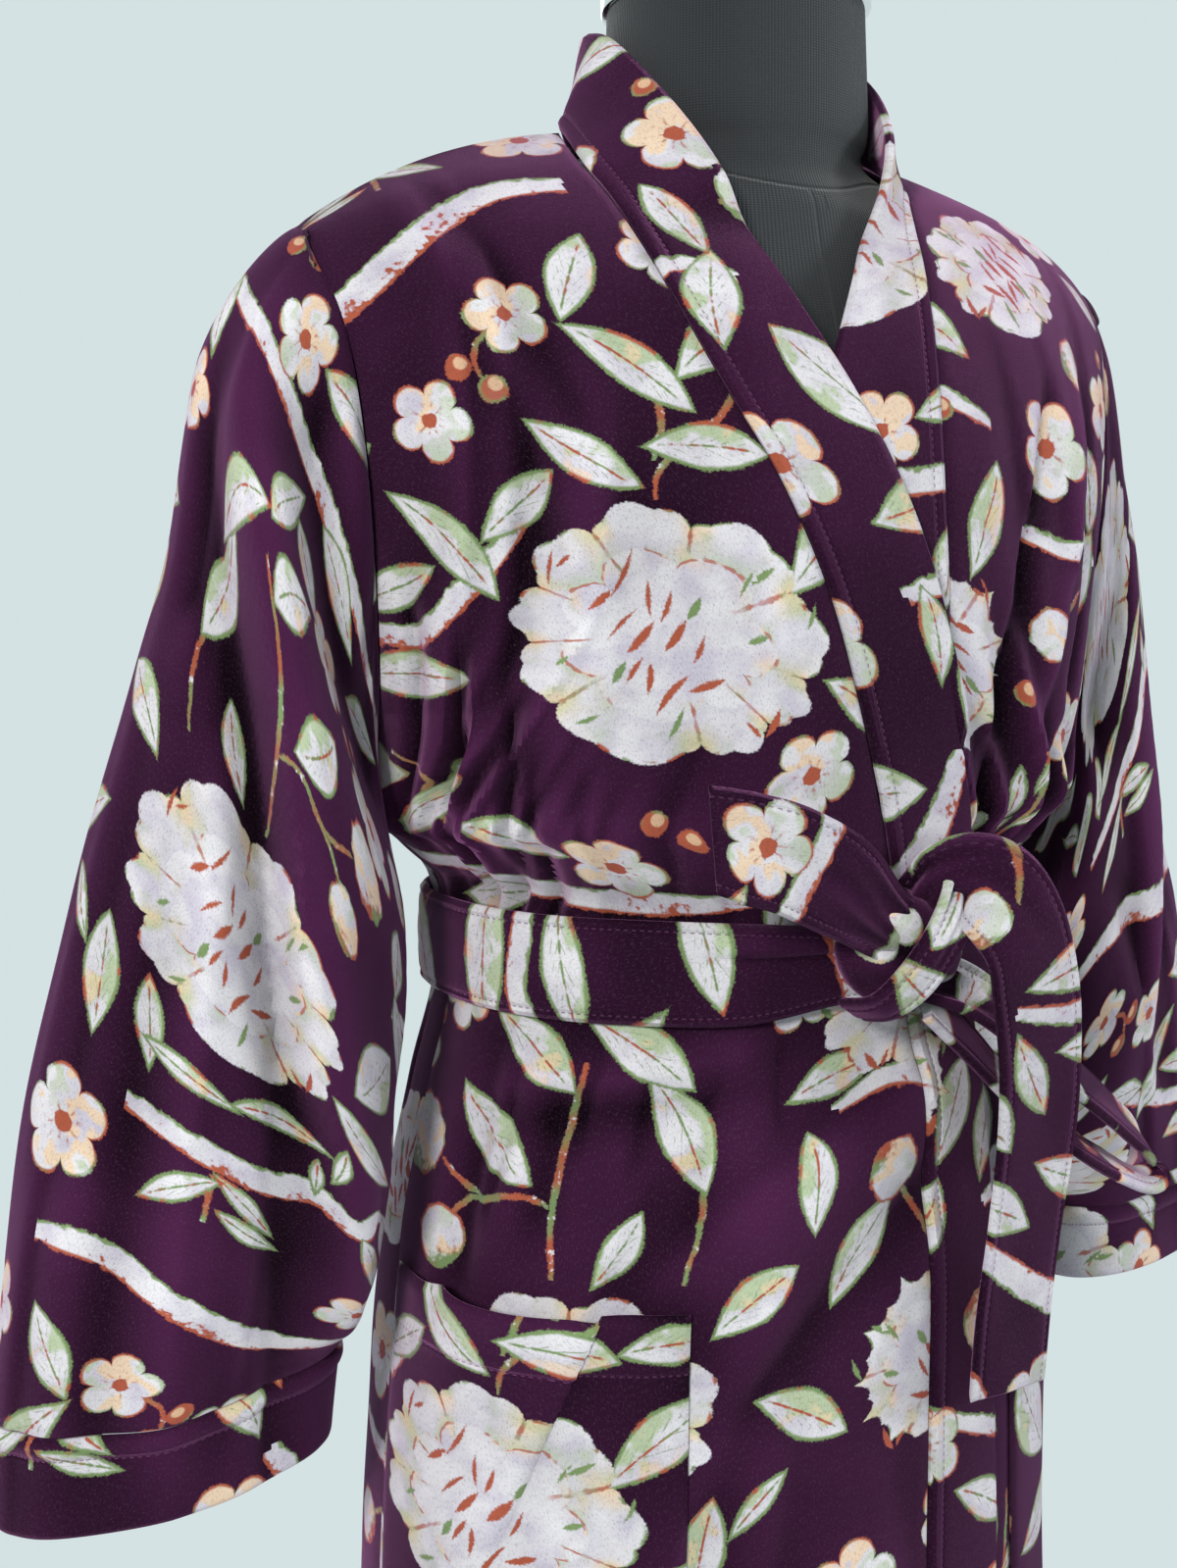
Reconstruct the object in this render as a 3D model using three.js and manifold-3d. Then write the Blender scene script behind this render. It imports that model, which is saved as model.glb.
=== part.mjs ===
// A kimono robe with its belt, worn by a limbless dress form on a stand.
// Millimetres, +Z up. The front faces -Y and the wearer's right side is at -X.
import * as THREE from 'three';
import Module from 'manifold-3d';

const wasm = await Module();
wasm.setup();

// Driving sizes
const clothThickness = 2;
const bandThickness = 4.4;
const beltWidth = 44;
const beltThickness = 5;
const seamGap = 0.3;
const overlapLift = 6.5;      // how far the right front stands off where it covers the left one
const sectionPower = 2.3;     // roundness of the robe's sections
const waistHeight = 1056;
const shoulderDroop = 2.9;    // how late the shoulder line falls towards its tip
const cuffTuck = 1.6;         // the tuck above the cuff stands out by this
const pocketTop = 918;
const pocketFloor = 715;
const pocketLift = 0.8;
const pocketMouthGape = 13;
const poleRadius = 16;
const poleSeat = 735;
const baseRadius = 190;
const baseThickness = 14;
const capRadius = 61;
const capHeight = 16;

const velvetColour = 0x4a1f45;
const degree = Math.PI / 180;

function table(names, rows) {
  const columns = names.split(' ');
  return rows.map((row) => Object.fromEntries(columns.map((name, i) => [name, row[i]])));
}

function between(rows, place) {
  const at = Math.min(Math.max(place, 0), rows.length - 1);
  const i = Math.min(Math.floor(at), rows.length - 2);
  const part = at - i;
  const out = {};
  for (const name of Object.keys(rows[i])) {
    out[name] = rows[i][name] + (rows[i + 1][name] - rows[i][name]) * part;
  }
  return out;
}

function ease(from, to, value) {
  return THREE.MathUtils.smoothstep((value - from) / (to - from), 0, 1);
}

function signedPower(value, power) {
  return Math.sign(value) * Math.abs(value) ** power;
}

// The robe's body, row by row from the hem to the shoulder line. Above the underarm row each
// row sinks to edgeZ at the armhole, z is its height at the centre line, and turn is how much of
// a quarter oval it goes through. shift is the middle of the row. The last four columns place
// the band's seam and its free edge across each front.
const bodyRows = table(
  'z edgeZ shift half front back edgeFront edgeBack turn rightSeam rightEdge leftSeam leftEdge', [
    [185, 185, -15, 180, -132, 140, 5, 5, 1, 16, 60, 18, -44],
    [300, 300, -15, 178, -131, 138, 5, 5, 1, 16, 60, 18, -44],
    [420, 420, -15, 176, -130, 136, 5, 5, 1, 17, 60, 19, -43],
    [540, 540, -15, 174, -129, 134, 5, 5, 1, 17, 61, 19, -43],
    [660, 660, -15, 171, -128, 131, 5, 5, 1, 18, 61, 20, -42],
    [760, 760, -15, 168, -127, 128, 5, 5, 1, 19, 62, 20, -42],
    [850, 850, -14, 164, -124, 124, 5, 5, 1, 22, 63, 21, -41],
    [930, 930, -12, 157, -119, 116, 5, 5, 1, 25, 64, 22, -40],
    [990, 990, -10, 147, -112, 106, 5, 5, 1, 24, 62, 24, -38],
    [1035, 1035, -8, 137, -104.5, 96.5, 5, 5, 1, 20, 60, 26, -35],
    [1081, 1081, -8, 137, -104.5, 96.5, 5, 5, 1, 13, 56, 28, -34],
    [1095, 1095, -7, 149, -110, 100, 5, 5, 1, 8, 54, 29, -34],
    [1107, 1107, -6, 163, -114, 104, 5, 5, 1, 3, 51, 30, -34],
    [1120, 1116, -5, 175, -117, 110, 5, 5, 1, -2, 45, 32, -34],
    [1162, 1155, -4, 179, -121, 118, -16, 42, 0.88, -15, 37, 34, -34],
    [1208, 1195, -3, 183, -124, 123, -27, 60, 0.78, -31, 22, 31, -34],
    [1252, 1235, -2, 187, -122, 125, -32, 68, 0.72, -50, 4, 29, -32],
    [1290.5, 1272, -1, 191, -114, 122, -33, 68, 0.68, -69, -14, 32, -25],
    [1324, 1303, 0, 195, -101, 114, -30, 62, 0.65, -81, -31, 38, -8],
    [1352, 1327, 0, 199, -84, 104, -24, 52, 0.62, -88, -41, 45, 10],
    [1376, 1344, 0, 203, -62, 90, -13, 40, 0.6, -92, -46, 54, 28],
    [1396, 1358, 0, 204, -36, 67, 0, 28, 0.6, -94, -56, 67, 44],
    [1417, 1365, 0, 203, 10, 10, 14, 14, 0.6, -84, -64, 76, 62],
  ]);
const underarm = 13;
const shoulder = bodyRows.length - 1;
const neckStart = 20;         // from this row on the band's free edge stands clear of the chest
const neckRight = -84;        // the neck's ends of the shoulder line
const neckLeft = 76;
const neckDrop = 0.85;        // rows by which the back neckline dips at the centre
const bandRise = 1.6;         // the band's seam stands on the neckline
const waistRow = 9;

// The band's free edge where it stands round the neck: three places on each front, then round
// the back of the neck to the centre.
const rightCollar = table('x y z', [
  [-48, -72, 1384], [-58, -50, 1414], [-67, -12, 1448],
  [-66, 16, 1459], [-58, 38, 1462], [-43, 54, 1464], [-22, 63, 1465], [0, 66, 1465],
]);
const leftCollar = table('x y z', [
  [33, -70, 1385], [47, -55, 1413], [63, -16, 1444],
  [64, 16, 1458], [57, 38, 1462], [43, 54, 1464], [22, 63, 1465], [0, 66, 1465],
]);

// Folds in the body: where each starts and ends in height, its angle from the centre front at
// its lower end, how it leans with height, its width and its depth. Ridges have a depth below 0.
const foldRows = table('from to angle lean width depth', [
  [1062, 1180, -83, 0.17, 3.4, 8],
  [1062, 1185, -76, 0.19, 3.4, 8],
  [1062, 1175, -69, 0.2, 3.2, 6],
  [1062, 1150, -60, 0.16, 4, 4],
  [1062, 1215, 25, -0.085, 3.4, 6],
  [1062, 1230, 34, -0.1, 3.6, 7],
  [1062, 1215, 45, -0.1, 4, 7],
  [1062, 1190, 57, -0.06, 4.5, 6],
  [1062, 1170, 73, 0.05, 4, 6],
  [900, 1052, -72, 0.03, 4.5, 5],
  [930, 1052, -55, 0.05, 4.5, 4],
  [900, 1052, 38, -0.04, 4.5, 5],
  [880, 1052, 60, -0.03, 4.5, 5],
  [100, 720, -78, 0.01, 10, -8],
  [100, 660, -48, 0.01, 9, 7],
  [100, 700, 40, 0, 10, -8],
  [100, 640, 66, 0, 9, 7],
  [1062, 1200, 100, 0, 4.5, 7],
  [1062, 1230, 118, 0.03, 4.5, 6],
  [1062, 1250, 140, 0.03, 5, 6],
  [1062, 1260, 163, 0.02, 5, 5],
  [1062, 1255, -166, -0.02, 5, 6],
  [1062, 1240, -144, -0.03, 5, 6],
  [1062, 1230, -121, -0.03, 4.5, 7],
  [1062, 1200, -101, 0, 4.5, 6],
  [860, 1052, 112, 0, 5, 5],
  [880, 1052, 150, 0, 5, 4],
  [870, 1052, -157, 0, 5, 5],
  [860, 1052, -116, 0, 5, 5],
  [100, 700, 105, 0, 11, -9],
  [100, 640, 132, 0, 10, 7],
  [100, 720, 165, 0, 11, -9],
  [100, 660, -160, 0, 10, 7],
  [100, 710, -130, 0, 11, -9],
  [100, 640, -104, 0, 9, 7],
]);

function foldDepth(angle, z) {
  let depth = 0;
  for (const fold of foldRows) {
    if (z <= fold.from || z >= fold.to) continue;
    const reach = fold.to - fold.from;
    const fade = ease(fold.from, fold.from + 0.25 * reach, z) * ease(fold.to, fold.from + 0.45 * reach, z);
    const centre = fold.angle + fold.lean * (z - fold.from);
    let off = angle / degree - centre;
    off -= 360 * Math.round(off / 360);
    depth += fold.depth * fade * Math.exp(-((off / fold.width) ** 2));
  }
  return depth;
}

function edgeAcross(row) {
  return Math.sin((row.turn * Math.PI) / 2) ** (2 / sectionPower);
}

function edgeAlong(row) {
  return Math.max(Math.cos((row.turn * Math.PI) / 2), 0) ** (2 / sectionPower);
}

// A point of the robe's outer face: facing is -1 on the front and 1 on the back, angle runs
// from -90 degrees at the wearer's right side to 90 at the left, place is a place in bodyRows.
function bodyPoint(facing, angle, place) {
  let side = facing;
  let at = place;
  if (at > shoulder) {
    at = 2 * shoulder - at;
    side = -side;
  }
  let angleHere = angle;
  if (at > underarm) angleHere = THREE.MathUtils.clamp(angle, -Math.PI / 2, Math.PI / 2);
  const row = between(bodyRows, at);
  if (Math.cos(angleHere) < 0) side = -side;
  const edge = side < 0 ? row.edgeFront : row.edgeBack;
  const depth = side < 0 ? row.front : row.back;
  const quarter = Math.asin(Math.sin(angleHere)) * row.turn;
  const across = signedPower(Math.sin(quarter), 2 / sectionPower) / edgeAcross(row);
  const last = edgeAlong(row);
  const along = (Math.cos(quarter) ** (2 / sectionPower) - last) / (1 - last);
  const z = row.z + (row.edgeZ - row.z) * Math.abs(across) ** shoulderDroop;
  const point = new THREE.Vector3(
    row.shift + row.half * across, edge + (depth - edge) * along, z);
  const out = new THREE.Vector3(
    Math.sin(quarter) * Math.abs(depth), side * Math.cos(quarter) * row.half, 0);
  const flat = Math.asin(Math.sin(angleHere));
  const round = side < 0 ? flat : Math.sign(flat || 1) * Math.PI - flat;
  return point.addScaledVector(out.normalize(), -foldDepth(round, z));
}

function angleAt(x, place) {
  const row = between(bodyRows, place);
  const across = THREE.MathUtils.clamp((x - row.shift) / row.half, -1, 1) * edgeAcross(row);
  return Math.asin(signedPower(across, sectionPower / 2)) / row.turn;
}

// How far the right front stands off at a given x, to clear the left front's band below it.
function rightLift(x, place) {
  const fade = 1 - ease(neckStart - 2, shoulder - 1, place);
  return overlapLift * ease(-95, -50, x) * fade;
}

function neckAngle(side) {
  return Math.abs(angleAt(side < 0 ? neckRight : neckLeft, shoulder));
}

function neckTop(angle) {
  const part = Math.min(Math.abs(angle) / neckAngle(angle), 1);
  return shoulder - neckDrop * (1 - part ** 3);
}

// The normal of a surface given as a function of two numbers, by small steps.
function normalAt(surface, u, v, stepU, stepV) {
  const du = surface(u + stepU, v).sub(surface(u - stepU, v));
  const dv = surface(u, v + stepV).sub(surface(u, v - stepV));
  return du.cross(dv).normalize();
}

function gridGeometry(outer, inner, closed) {
  const columns = outer.length;
  const rows = outer[0].length;
  const positions = [];
  for (const layer of [outer, inner]) {
    for (const column of layer) {
      for (const point of column) positions.push(point.x, point.y, point.z);
    }
  }
  const index = [];
  const inside = columns * rows;
  const quad = (a, b, c, d) => index.push(a, b, c, a, c, d);
  const last = closed ? columns : columns - 1;
  for (let i = 0; i < last; i += 1) {
    const next = (i + 1) % columns;
    for (let j = 0; j < rows - 1; j += 1) {
      const a = i * rows + j;
      const b = next * rows + j;
      quad(a, b, b + 1, a + 1);
      quad(inside + b, inside + a, inside + a + 1, inside + b + 1);
    }
    quad(next * rows, i * rows, inside + i * rows, inside + next * rows);
    const top = i * rows + rows - 1;
    const nextTop = next * rows + rows - 1;
    quad(top, nextTop, inside + nextTop, inside + top);
  }
  if (!closed) {
    const end = (columns - 1) * rows;
    for (let j = 0; j < rows - 1; j += 1) {
      quad(j, j + 1, inside + j + 1, inside + j);
      quad(end + j + 1, end + j, inside + end + j, inside + end + j + 1);
    }
  }
  const geometry = new THREE.BufferGeometry();
  geometry.setAttribute('position', new THREE.Float32BufferAttribute(positions, 3));
  geometry.setIndex(index);
  return geometry;
}

// A cloth wall on a surface. place(u, v) gives the point and its outward normal, and the wall
// reaches from outside to inside along that normal.
function wall(columns, rows, place, outside, inside, closed = false) {
  const outer = [];
  const inner = [];
  const count = closed ? columns : columns + 1;
  for (let i = 0; i < count; i += 1) {
    outer.push([]);
    inner.push([]);
    for (let j = 0; j <= rows; j += 1) {
      const { point, normal } = place(i / columns, j / rows);
      outer[i].push(point.clone().addScaledVector(normal, outside));
      inner[i].push(point.clone().addScaledVector(normal, -inside));
    }
  }
  return gridGeometry(outer, inner, closed);
}

function bodyPlace(facing, angle, place, lift) {
  const surface = (u, v) => bodyPoint(facing, u, v);
  const normal = normalAt(surface, angle, place, 0.004, 0.02);
  if (facing > 0) normal.negate();
  return { point: bodyPoint(facing, angle, place).addScaledVector(normal, lift), normal };
}

// Moves an angle by a distance along the row, for the gaps at seams.
function nudge(angle, place, distance) {
  const row = between(bodyRows, place);
  const radius = Math.hypot(row.half * Math.cos(angle), Math.abs(row.front) * Math.sin(angle));
  return angle + distance / Math.max(radius, 40);
}

const sideNudge = seamGap / 2;

// Parts the front and the back along the shoulder line.
function shoulderEdge(spot, facing, place) {
  if (place > shoulder - 0.01) spot.point.y += facing * (sideNudge + 0.05);
  return spot;
}

function rightFront() {
  const columns = 27;
  return wall(columns, shoulder, (u, v) => {
    const place = v * shoulder;
    const from = nudge(-Math.PI / 2, place, sideNudge);
    const to = nudge(angleAt(between(bodyRows, place).rightSeam, place), place, -sideNudge - 0.1);
    const angle = from + (to - from) * u;
    const x = bodyPoint(-1, angle, place).x;
    return shoulderEdge(bodyPlace(-1, angle, place, rightLift(x, place)), -1, place);
  }, 0, clothThickness);
}

function leftFront() {
  const columns = 25;
  return wall(columns, shoulder, (u, v) => {
    const place = v * shoulder;
    const to = nudge(Math.PI / 2, place, -sideNudge);
    const from = nudge(angleAt(between(bodyRows, place).leftSeam, place), place, sideNudge + 0.25);
    return shoulderEdge(bodyPlace(-1, from + (to - from) * u, place, 0), -1, place);
  }, 0, clothThickness);
}

const backSideColumns = 13;
const backNeckColumns = 10;

function backAngle(column) {
  const half = backNeckColumns / 2;
  const middle = backSideColumns + half;
  const off = Math.abs(column - middle);
  const side = Math.sign(middle - column);
  const inner = neckAngle(side);
  if (off <= half) return side * inner * (off / half);
  return side * (inner + (Math.PI / 2 - inner) * ((off - half) / backSideColumns));
}

function backPanel() {
  const columns = 2 * backSideColumns + backNeckColumns;
  const split = shoulder - 6;
  return wall(columns, shoulder, (u, v) => {
    const j = v * shoulder;
    let angle = backAngle(u * columns);
    const top = neckTop(angle);
    const place = j <= split ? j : split + (top - split) * ((j - split) / (shoulder - split));
    if (u === 0) angle = nudge(angle, place, -sideNudge);
    if (u === 1) angle = nudge(angle, place, sideNudge);
    return shoulderEdge(bodyPlace(1, angle, place, 0), 1, place);
  }, 0, clothThickness);
}

const bandStations = shoulder + backNeckColumns / 2;

// One front's band, from the hem up the front edge and round the neck to the centre back.
// across runs from the seam to the free edge.
function bandSection(side, j) {
  const collar = side < 0 ? rightCollar : leftCollar;
  const seamName = side < 0 ? 'rightSeam' : 'leftSeam';
  const edgeName = side < 0 ? 'rightEdge' : 'leftEdge';
  const seamStep = sideNudge + 0.2;
  const bow = side < 0 ? 3 : 2;
  const steps = 3;
  const points = [];
  for (let k = 0; k <= steps; k += 1) {
    const part = k / steps;
    if (j < neckStart) {
      const row = between(bodyRows, j);
      const seam = nudge(angleAt(row[seamName], j), j, -side * seamStep);
      const edge = angleAt(row[edgeName], j);
      const angle = seam + (edge - seam) * part;
      const x = bodyPoint(-1, angle, j).x;
      points.push(bodyPlace(-1, angle, j, side < 0 ? rightLift(x, j) : 0).point);
      continue;
    }
    const free = collar[j - neckStart];
    let seam;
    if (j <= shoulder) {
      const row = between(bodyRows, j);
      const angle = nudge(angleAt(row[seamName], j), j, -side * seamStep);
      seam = bodyPlace(-1, angle, j, side < 0 ? rightLift(row[seamName], j) : 0).point;
      if (j === shoulder) seam.z += bandRise;
    } else {
      const angle = side * neckAngle(side) * (1 - (j - shoulder) / (backNeckColumns / 2));
      seam = bodyPlace(1, angle, neckTop(angle), 0).point;
      seam.z += bandRise;
    }
    const point = seam.lerp(new THREE.Vector3(free.x, free.y, free.z), part);
    point.x -= bow * Math.sin(Math.PI * part) * ease(bandStations, shoulder, j);
    points.push(point);
  }
  return points;
}

function band(side) {
  const count = bandStations;
  const sections = [];
  for (let j = 0; j <= count; j += 1) sections.push(bandSection(side, j));
  sections[count].forEach((point) => { point.x = side * sideNudge; });
  const outer = [];
  const inner = [];
  for (let k = 0; k < sections[0].length; k += 1) {
    outer.push([]);
    inner.push([]);
    for (let j = 0; j <= count; j += 1) {
      const point = sections[j][k];
      const du = sections[j][Math.min(k + 1, 3)].clone().sub(sections[j][Math.max(k - 1, 0)]);
      const dv = sections[Math.min(j + 1, count)][k].clone().sub(sections[Math.max(j - 1, 0)][k]);
      const normal = du.cross(dv).normalize().multiplyScalar(-side);
      if (j === count) normal.x = 0;
      outer[k].push(point.clone().addScaledVector(normal, bandThickness - clothThickness - 1.2));
      inner[k].push(point.clone().addScaledVector(normal, -clothThickness - 1.2));
    }
  }
  if (side > 0) {
    outer.reverse();
    inner.reverse();
  }
  return gridGeometry(outer, inner, false);
}

// Each sleeve hangs from its armhole. Row by row: its upper edge, its lower edge, and how deep
// it is from front to back. The last two rows are the cuff's seam and the cuff's lower edge.
const sleeveColumns = 'upX upY upZ lowX lowY lowZ deep';
const rightSleeve = table(sleeveColumns, [
  [203, 14, 1361, 180, 5, 1116, 52],
  [225, 16, 1349, 183, 4, 1100, 54],
  [242, 15, 1320, 178, 2, 1082, 55],
  [252, 14, 1277, 172, -1, 1060, 54],
  [261, 13, 1226, 172, -3, 1037, 53],
  [274, 12, 1182, 175, -4, 1013, 52],
  [289, 11, 1136, 180, -5, 989, 51],
  [304, 10, 1088, 182, -6, 963, 50],
  [318, 9, 1036, 186, -7, 938, 49],
  [330, 8, 984, 191, -8, 916, 48],
  [340, 8, 930, 198, -8, 903, 47],
  [347, 8, 880, 205, -8, 895, 46],
  [350, 8, 836, 210, -8, 856, 45],
]);
const leftSleeve = table(sleeveColumns, [
  [203, 14, 1361, 170, 5, 1116, 52],
  [213, 17, 1346, 173, 2, 1100, 52],
  [219, 18, 1314, 169, -1, 1082, 52],
  [223, 19, 1270, 165, -5, 1060, 51],
  [231, 20, 1224, 162, -8, 1037, 50],
  [243, 21, 1180, 161, -11, 1013, 49],
  [258, 21, 1134, 161, -13, 989, 48],
  [272, 22, 1086, 162, -15, 964, 47],
  [286, 23, 1034, 164, -17, 941, 47],
  [297, 24, 982, 166, -18, 921, 46],
  [306, 25, 936, 168, -19, 907, 45],
  [313, 25, 898, 171, -20, 897, 44],
  [317, 25, 862, 174, -20, 858, 43],
]);
const sleevePower = 2.15;
const sleeveEnd = 11;
const armholeBlend = 2.5;
const armholeGap = 1.2;

// Folds along a sleeve: from and to are places in its rows, turn is measured from the upper
// edge towards the front in degrees, drift moves it from row to row. Ridges are below 0.
const sleeveFolds = table('from to turn drift width depth', [
  [-0.5, 10, 56, 6.5, 13, -9],
  [-0.5, 9, 92, 4, 11, 9],
  [0.5, 10, 112, 5, 10, -8],
  [0, 6, 138, 4, 9, 12],
  [3, 12.9, 40, 2, 12, 4],
  [-0.5, 8, 300, -1, 12, -8],
  [-0.5, 7, 266, -1, 12, 11],
  [0.5, 8, 238, 0, 11, -8],
  [0, 5, 212, -1, 10, 11],
  [5, 12.9, 270, 0, 14, -5],
]);

function sleeveFold(turn, place) {
  let depth = 0;
  for (const fold of sleeveFolds) {
    const reach = fold.to - fold.from;
    const fade = ease(fold.from, fold.from + 0.3 * reach, place) * ease(fold.to, fold.from + 0.6 * reach, place);
    let off = turn - (fold.turn + fold.drift * (place - fold.from));
    off -= 360 * Math.round(off / 360);
    depth += fold.depth * fade * Math.exp(-((off / fold.width) ** 2));
  }
  return depth;
}

// The point and normal of the body's armhole edge that a turn of the sleeve meets.
function armholeEdge(side, turn) {
  const round = ((turn % 360) + 360) % 360;
  const facing = round <= 180 ? -1 : 1;
  const climb = facing < 0 ? 1 - round / 180 : (round - 180) / 180;
  return bodyPlace(facing, side * (Math.PI / 2), underarm + (shoulder - underarm) * climb, 0);
}

function sleevePoint(side, turn, place) {
  const row = between(side < 0 ? rightSleeve : leftSleeve, place);
  const up = new THREE.Vector3(side * row.upX, row.upY, row.upZ);
  const low = new THREE.Vector3(side * row.lowX, row.lowY, row.lowZ);
  const centre = up.clone().add(low).multiplyScalar(0.5);
  const axis = up.clone().sub(low).multiplyScalar(0.5);
  const fold = sleeveFold(turn, place);
  const cos = signedPower(Math.cos(turn * degree), 2 / sleevePower);
  const sin = signedPower(Math.sin(turn * degree), 2 / sleevePower);
  const free = centre.clone().addScaledVector(axis, cos * (1 - fold / axis.length()));
  free.y -= sin * (row.deep - fold);
  const hole = armholeEdge(side, turn).point;
  hole.x += side * armholeGap;
  const blend = ease(0, armholeBlend, place);
  return hole.lerp(free, blend);
}

function sleevePlace(side, u, place) {
  const turn = -side * u * 360;
  const surface = (a, b) => sleevePoint(side, a, b);
  const free = normalAt(surface, turn, place, 2, 0.02).multiplyScalar(side);
  const body = armholeEdge(side, turn).normal;
  const alike = ease(0, 0.3, body.dot(free)) * (1 - ease(0, 0.8, place));
  return { point: sleevePoint(side, turn, place), normal: free.lerp(body, alike).normalize() };
}

const sleeveRound = 24;

function sleeve(side) {
  const rows = 12;
  return wall(sleeveRound, rows, (u, v) => {
    const place = sleeveEnd * (1 - v);
    return sleevePlace(side, u, place);
  }, 0, clothThickness, true);
}

function cuff(side) {
  const tuckRows = [1, 0.9, 0.78, 0.02];
  return wall(sleeveRound, 3, (u, v) => {
    const place = sleeveEnd + 1 - tuckRows[3 - Math.round(v * 3)] * 0.99;
    const { point, normal } = sleevePlace(side, u, place);
    const out = v > 0.3 && v < 0.9 ? cuffTuck : 0.4;
    return { point: point.addScaledVector(normal, v > 0.9 || v < 0.1 ? 0 : out * 0.5), normal };
  }, 0.6, clothThickness + 0.6, true);
}

// A pocket lies on its front, moved out, and gapes at the side.
function pocket(side) {
  const placeAt = (z) => {
    let i = 0;
    while (bodyRows[i + 1].z < z) i += 1;
    return i + (z - bodyRows[i].z) / (bodyRows[i + 1].z - bodyRows[i].z);
  };
  const low = placeAt(pocketFloor);
  const high = placeAt(pocketTop);
  const outer = side < 0 ? -88 : 88;
  const inner = side < 0 ? -24.5 : 33;
  return wall(10, 6, (u, v) => {
    const place = low + (high - low) * v;
    const from = (side < 0 ? outer : inner) * degree;
    const to = (side < 0 ? inner : outer) * degree;
    const angle = from + (to - from) * u;
    const x = bodyPoint(-1, angle, place).x;
    const sideways = Math.abs(angle / degree - inner) / Math.abs(outer - inner);
    const gape = pocketMouthGape * v ** 3 * Math.sin(Math.PI * Math.min(sideways, 0.96)) ** 1.5;
    const base = side < 0 ? rightLift(x, place) : 0;
    return bodyPlace(-1, angle, place, base + pocketLift + gape);
  }, clothThickness, 0);
}

// The belt's turn round the waist is a plain oval outside the gathers. It steps out in front
// where it crosses the lapped fronts and their band.
function beltLift(x, facing) {
  const step = facing < 0 ? ease(-105, -52, x) * (1 - ease(70, 108, x)) : 0;
  return 0.8 + (overlapLift + 1.9) * step;
}

function beltWrap() {
  return wall(56, 2, (u, v) => {
    const round = (u - 0.5) * 2 * Math.PI;
    const facing = Math.cos(round) >= 0 ? -1 : 1;
    const row = bodyRows[waistRow];
    const across = signedPower(Math.sin(round), 2 / sectionPower);
    const along = Math.abs(Math.cos(round)) ** (2 / sectionPower);
    const depth = facing < 0 ? row.front : row.back;
    const out = new THREE.Vector3(
      Math.sin(round) * Math.abs(depth), -Math.cos(round) * row.half, 0).normalize();
    const x = row.shift + row.half * across;
    const crush = Math.exp(-(((x + 12) / 34) ** 2)) * (facing < 0 ? 1 : 0);
    const width = beltWidth * (1 - 0.25 * crush);
    const z = waistHeight + (v - 0.5) * width + 2 * Math.sin(round) * Math.sin(round) + crush;
    const point = new THREE.Vector3(x, row.edgeFront + (depth - row.edgeFront) * along, z);
    point.addScaledVector(out, beltLift(x, facing));
    const bulge = Math.sin(Math.PI * v) * 1.2;
    return { point: point.addScaledVector(out, bulge), normal: out };
  }, beltThickness, 0, true);
}

// The knot is a rounded lump with the crossing strap as a raised ridge, flat behind.
const knotCentre = new THREE.Vector3(0, -132, 1068);
const knotHalf = new THREE.Vector3(27, 20, 26);
const knotBack = -120.2;

function knotGeometry(grow) {
  const round = 20;
  const rings = 12;
  const positions = [];
  const index = [];
  const add = (longitude, latitude) => {
    const direction = new THREE.Vector3(
      Math.cos(latitude) * Math.sin(longitude), -Math.cos(latitude) * Math.cos(longitude), Math.sin(latitude));
    const diagonal = (direction.x * 0.72 - direction.z * 0.69) * 26;
    const ridge = direction.y < 0 ? 3.5 * Math.exp(-(((diagonal + 3) / 8) ** 2)) : 0;
    const point = direction.clone().multiply(knotHalf).addScaledVector(direction, ridge + grow);
    point.add(knotCentre);
    point.y = Math.min(point.y, knotBack + grow);
    positions.push(point.x, point.y, point.z);
  };
  add(0, -Math.PI / 2);
  for (let j = 1; j < rings; j += 1) {
    for (let i = 0; i < round; i += 1) add((i / round) * 2 * Math.PI, (j / rings - 0.5) * Math.PI);
  }
  add(0, Math.PI / 2);
  const top = positions.length / 3 - 1;
  for (let i = 0; i < round; i += 1) {
    const next = (i + 1) % round;
    index.push(0, 1 + next, 1 + i);
    for (let j = 0; j < rings - 2; j += 1) {
      const a = 1 + j * round;
      index.push(a + i, a + next, a + round + next, a + i, a + round + next, a + round + i);
    }
    const a = 1 + (rings - 2) * round;
    index.push(a + i, a + next, top);
  }
  const geometry = new THREE.BufferGeometry();
  geometry.setAttribute('position', new THREE.Float32BufferAttribute(positions, 3));
  geometry.setIndex(index);
  return geometry;
}

// A strap: centre points, the direction across its width, and its width at each.
const strapColumns = 'x y z acrossX acrossY acrossZ width';
const shortTail = table(strapColumns, [
  [0, -141, 1071, 0.4, 0, 0.92, 24],
  [-16, -145, 1080, 0.4, 0, 0.92, 31],
  [-38, -149, 1096, 0.36, -0.05, 0.94, 41],
  [-63, -150, 1109, 0.32, -0.05, 0.95, 43],
  [-82, -149, 1115, 0.3, 0, 0.95, 43],
  [-97, -147, 1119, 0.28, 0, 0.96, 40],
]);
const longTail = table(strapColumns, [
  [4, -134, 1080, 0.1, -0.6, 0.8, 22],
  [10, -149, 1096, 0.3, -0.5, 0.8, 30],
  [22, -160, 1095, 0.6, -0.3, 0.75, 40],
  [37, -166, 1075, 0.85, 0, 0.5, 43],
  [46, -164, 1048, 0.98, 0, 0.18, 44],
  [53, -159, 1018, 1, 0.05, 0.04, 44],
  [57, -153, 985, 1, 0.08, 0, 44],
  [57, -147, 945, 1, 0.12, 0, 44],
  [55, -143, 905, 1, 0.12, 0, 44],
  [54, -141, 867, 1, 0.12, 0, 44],
]);
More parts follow.
